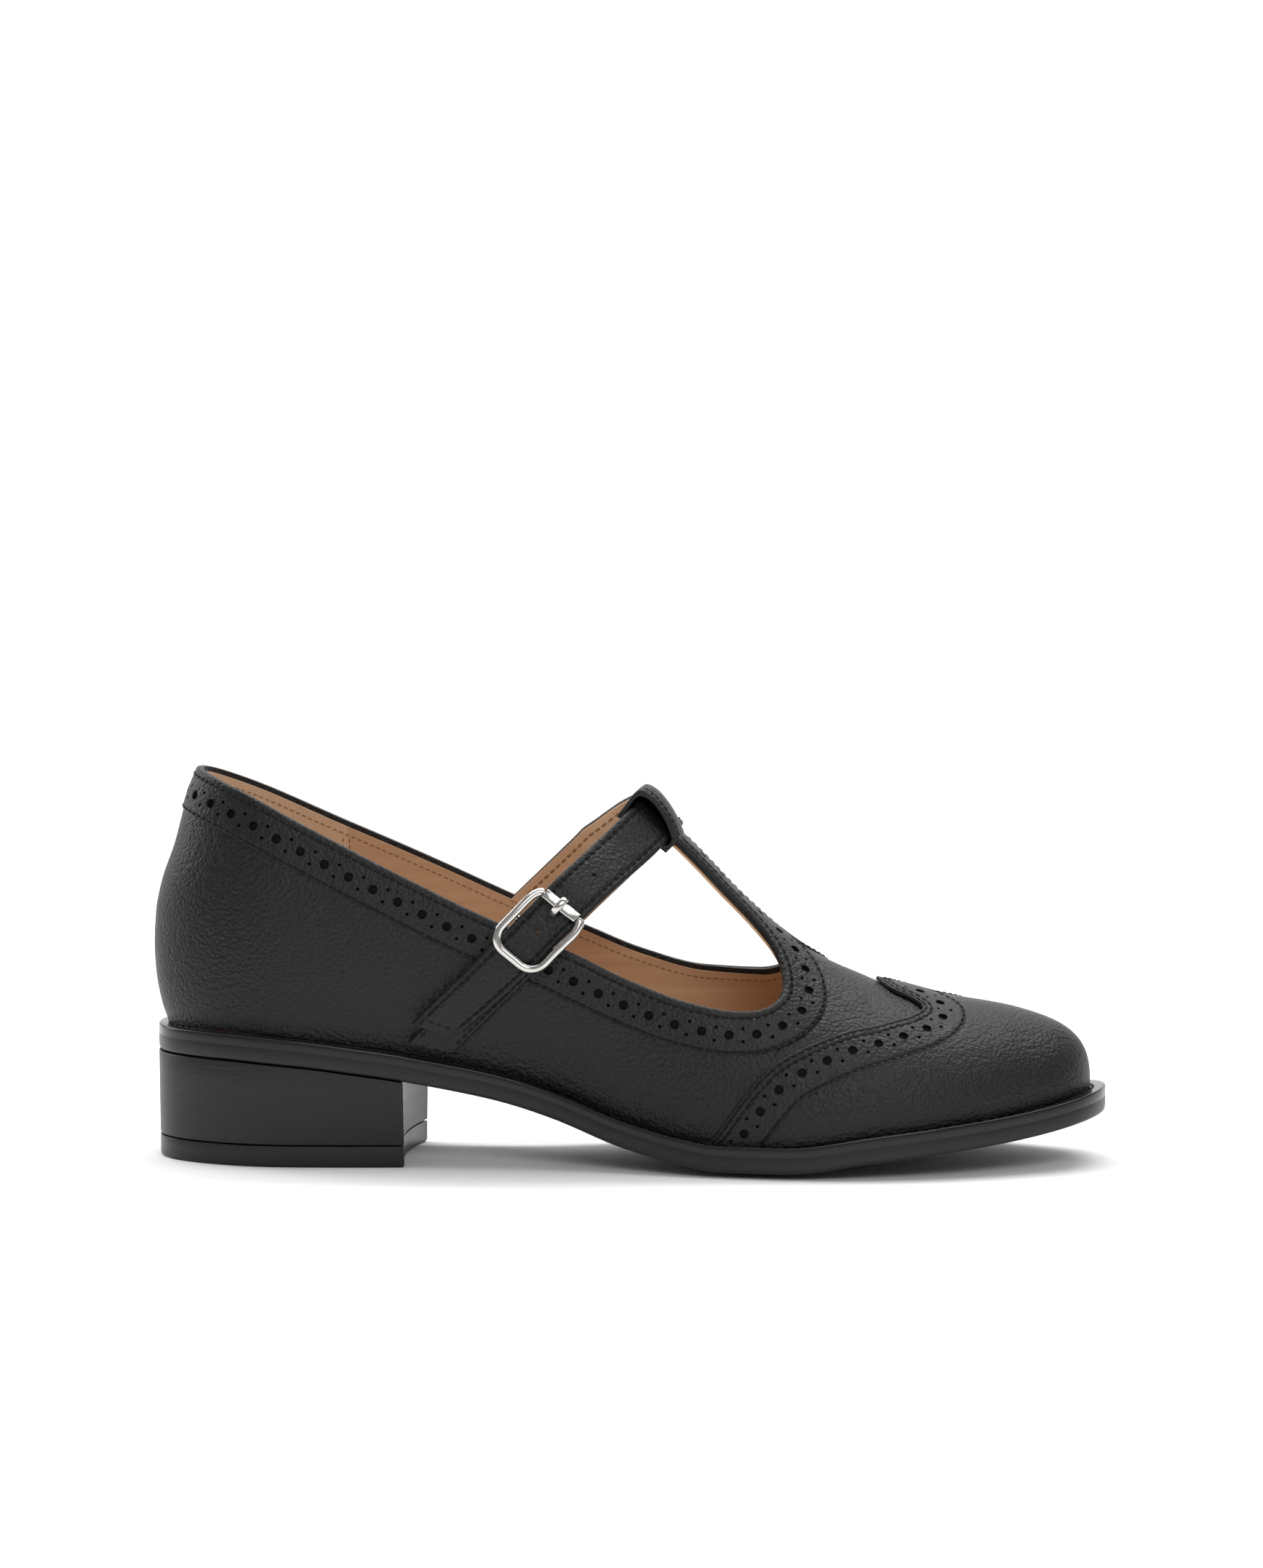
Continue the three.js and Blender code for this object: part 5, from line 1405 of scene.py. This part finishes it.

# ---- Under-strap
# A short under-strap of black calf comes out of the sole, with its edges sewn, and ends just past the
# buckle's bar. It lies on the quarter, a little ahead of the strap that covers it.
tab_thickness, tab_width, tab_shift, tab_foot = 1.6, 10.8, 2, 0.9
bar_diameter, band_step = 1.6, 0.4
tab_base = band_step + clearance
tab = bmesh.new()
tab_section = [(-1, 0), (-0.5, 0), (0, 0), (0.5, 0), (1, 0), (1, 0.6), (0.97, 0.85), (0.92, 0.97),
               (0.85, 1), (0.76, 0.95), (0.68, 1), (0.35, 1),
               (0, 1), (-0.35, 1), (-0.68, 1), (-0.76, 0.95), (-0.85, 1), (-0.92, 0.97), (-0.97, 0.85),
               (-1, 0.6)]
tab_ends = curve_through([-1, -0.5, 0, 0.5, 1], [
    strap_length(tab_shift + v * tab_width / 2, buckle_length, sole_length / 2,
                 lambda p: p.z < feather_height(p.x, p.y) + tab_foot)
    for v in (-1, -0.5, 0, 0.5, 1)])


def on_tab(f, v, up):
    length = lerp(buckle_length + bar_diameter + clearance, tab_ends(v), f)
    return strap_point(length, tab_shift + v * tab_width / 2, tab_base + tab_thickness * up)


count = len(tab_section)
lay(tab, 50, count, lambda i, j: on_tab(i / 50, *tab_section[j % count]))
close_ends(tab)
finish_piece("tab_leather", tab, [grained_calf], ["buckle_tab"])
tab_thread = bmesh.new()
for v in (-0.76, 0.76):
    run = []
    for k in range(41):
        p = on_tab(k / 40, v, 0.98)
        run.append((p, (on_tab(k / 40, v, 2) - p).normalized()))
    sew(tab_thread, run, *strap_stitch)
finish_piece("tab_stitching", tab_thread, [waxed_thread])

# ---- Buckle
# The buckle is a drawn steel wire bent to a rounded frame, nickel plated and polished. A square
# sleeve turns on its upper side, and a flat prong goes through the strap and over the sleeve.
frame_width, frame_corner, roller_corner, lug_rise = 18.1, 6, 3.2, 0.2
wire_thickness = 1.9
frame_base = strap_lift + strap_thickness + clearance
lug_base = band_step + clearance
bar_centre = lug_base + lug_rise + bar_diameter / 2
roller_middle = frame_base + roller_side / 2
half_up, half_across = (frame_length - wire_width) / 2, (frame_width - wire_width) / 2
corner_radius, roller_reach = frame_corner - wire_width / 2, roller_corner - wire_width / 2

# Nickel plate, polished: a cool near-white metal that mirrors the soft boxes, with faint wiping marks.
polished_nickel = new_material("polished_nickel")
place = add(polished_nickel, "TexCoord").outputs["Object"]
wipe = noise(polished_nickel, place, 1 / 0.003, 4.0)
gloss = add(polished_nickel, "MapRange", {"Value": wipe, "To Min": 0.1, "To Max": 0.22})
tone = blend(polished_nickel, wipe, "#dcdad5", "#c9c7c3")
bump = add(polished_nickel, "Bump", {"Height": wipe, "Strength": 0.05, "Distance": 0.00005})
show(polished_nickel, {
    "Base Color": tone, "Metallic": 1.0, "Roughness": gloss.outputs[0], "Normal": bump.outputs[0]})

wire_path = []
for sign_up, sign_across, quarter in ((1, 1, 0), (-1, 1, 1), (-1, -1, 2), (1, -1, 3)):
    reach = roller_reach if sign_up < 0 else corner_radius
    centre = (sign_up * (half_up - corner_radius), sign_across * (half_across - reach))
    for k in range(9):
        turn = quarter_turn * (quarter + k / 8)
        a, b = math.cos(turn), math.sin(turn)
        size = math.hypot(a / corner_radius, b / reach)
        wire_path.append((centre[0] + corner_radius * a, centre[1] + reach * b, a / corner_radius / size,
                          b / reach / size))
    if quarter in (0, 2):
        for k in range(1, 12):
            a = sign_across * sign_up * lerp(1, -1, k / 12) if quarter == 0 else lerp(-1, 1, k / 12)
            wire_path.append((a * (half_up - corner_radius), sign_across * half_across, 0, sign_across))
    elif quarter == 1:
        for k in range(1, 10):
            wire_path.append((-half_up, lerp(1, -1, k / 10) * (half_across - roller_reach), -1, 0))
    else:
        for k in range(1, 8):
            wire_path.append((half_up, lerp(-1, 1, k / 8) * (half_across - corner_radius), 1, 0))

wire_section = [(math.cos(2 * math.pi * k / 16), math.sin(2 * math.pi * k / 16)) for k in range(16)]


def on_wire(i, j):
    a, b, na, nb = wire_path[i % len(wire_path)]
    out, up = wire_section[j % 16]
    in_roller = a < -half_up + 0.3 and abs(b) < half_across - roller_reach + 0.01
    size = 0.48 if in_roller else 1
    offset = frame_base + wire_thickness / 2 + up * wire_thickness / 2 * size + (0.35 if in_roller else 0)
    if abs(a) < 1.25 and abs(nb) > 0.9 and up < -0.1:
        offset = lerp(offset, lug_base + 0.1, clamp((-up - 0.1) / 0.5, 0, 1))
    return strap_point(buckle_length + a + na * out * wire_width / 2 * size,
                       b + nb * out * wire_width / 2 * size, offset)


wire = bmesh.new()
lay(wire, len(wire_path), 16, on_wire)
finish_piece("buckle_wire", wire, [polished_nickel], ["buckle_frame"], sharp=60)

bar = bmesh.new()


def on_bar(i, j):
    turn = 2 * math.pi * (j % 14) / 14
    across = lerp(-1, 1, i / 12) * (frame_width / 2 - wire_width / 3)
    size = 0.8 if 0 < i < 12 else 0.02
    return strap_point(buckle_length + math.cos(turn) * size, across, bar_centre + math.sin(turn) * size)


lay(bar, 12, 14, on_bar)
finish_piece("buckle_bar", bar, [polished_nickel], sharp=50)

sleeve_corner = []
for quarter in range(4):
    for k in range(4):
        turn = quarter_turn * (quarter + k / 3)
        centre = [math.copysign(roller_side / 2 - 0.35, math.cos(quarter_turn * (quarter + 0.5))),
                  math.copysign(roller_side / 2 - 0.35, math.sin(quarter_turn * (quarter + 0.5)))]
        sleeve_corner.append((centre[0] + 0.35 * math.cos(turn), centre[1] + 0.35 * math.sin(turn)))
sleeve_run = [(-5.4, 1), (-3, 1), (0, 1), (3, 1), (5.4, 1), (5.48, 0.98), (5.5, 0.9), (5.5, 0.72),
              (5.3, 0.69), (3, 0.69), (0, 0.69),
              (-3, 0.69), (-5.3, 0.69), (-5.5, 0.72), (-5.5, 0.9), (-5.48, 0.98)]


def on_sleeve(i, j):
    across, size = sleeve_run[j % len(sleeve_run)]
    a, up = sleeve_corner[i % 16]
    return strap_point(buckle_length + bar_place_up + a * size, across, roller_middle + up * size)


sleeve = bmesh.new()
lay(sleeve, 16, len(sleeve_run), on_sleeve)
finish_piece("buckle_sleeve", sleeve, [polished_nickel], ["buckle_roller"], sharp=60)

prong_path = [(-2.05, -4.6), (-2.05, -1.0), (-2.05, 0.7), (-1.9, 1.35), (-1.45, 1.85), (-0.8, 2.05),
              (0.8, 2.05), (1.5, 1.8), (2.1, 1.1), (2.75, 0.1),
              (3.3, -0.85), (3.45, -1.15)]
prong_ring = [(1, 0.6), (0.8, 1), (-0.8, 1), (-1, 0.6), (-1, -0.6), (-0.8, -1), (0.8, -1), (1, -0.6)]


def on_prong(i, j):
    a, up = prong_path[i]
    before, after = prong_path[max(0, i - 1)], prong_path[min(len(prong_path) - 1, i + 1)]
    run = Vector((after[0] - before[0], after[1] - before[1])).normalized()
    across, thick = prong_ring[j % 8]
    taper = 0.55 if i == len(prong_path) - 1 else (0.85 if i == len(prong_path) - 2 else 1)
    thick *= prong_thickness / 2 * (0.5 if i == len(prong_path) - 1 else 1)
    return strap_point(buckle_length + bar_place_up + a - run.y * thick, across * prong_width / 2 * taper,
                       roller_middle + up + run.x * thick)


prong = bmesh.new()
lay(prong, len(prong_path) - 1, 8, on_prong)
close_ends(prong)
finish_piece("buckle_pin", prong, [polished_nickel], ["buckle_prong"], sharp=60)
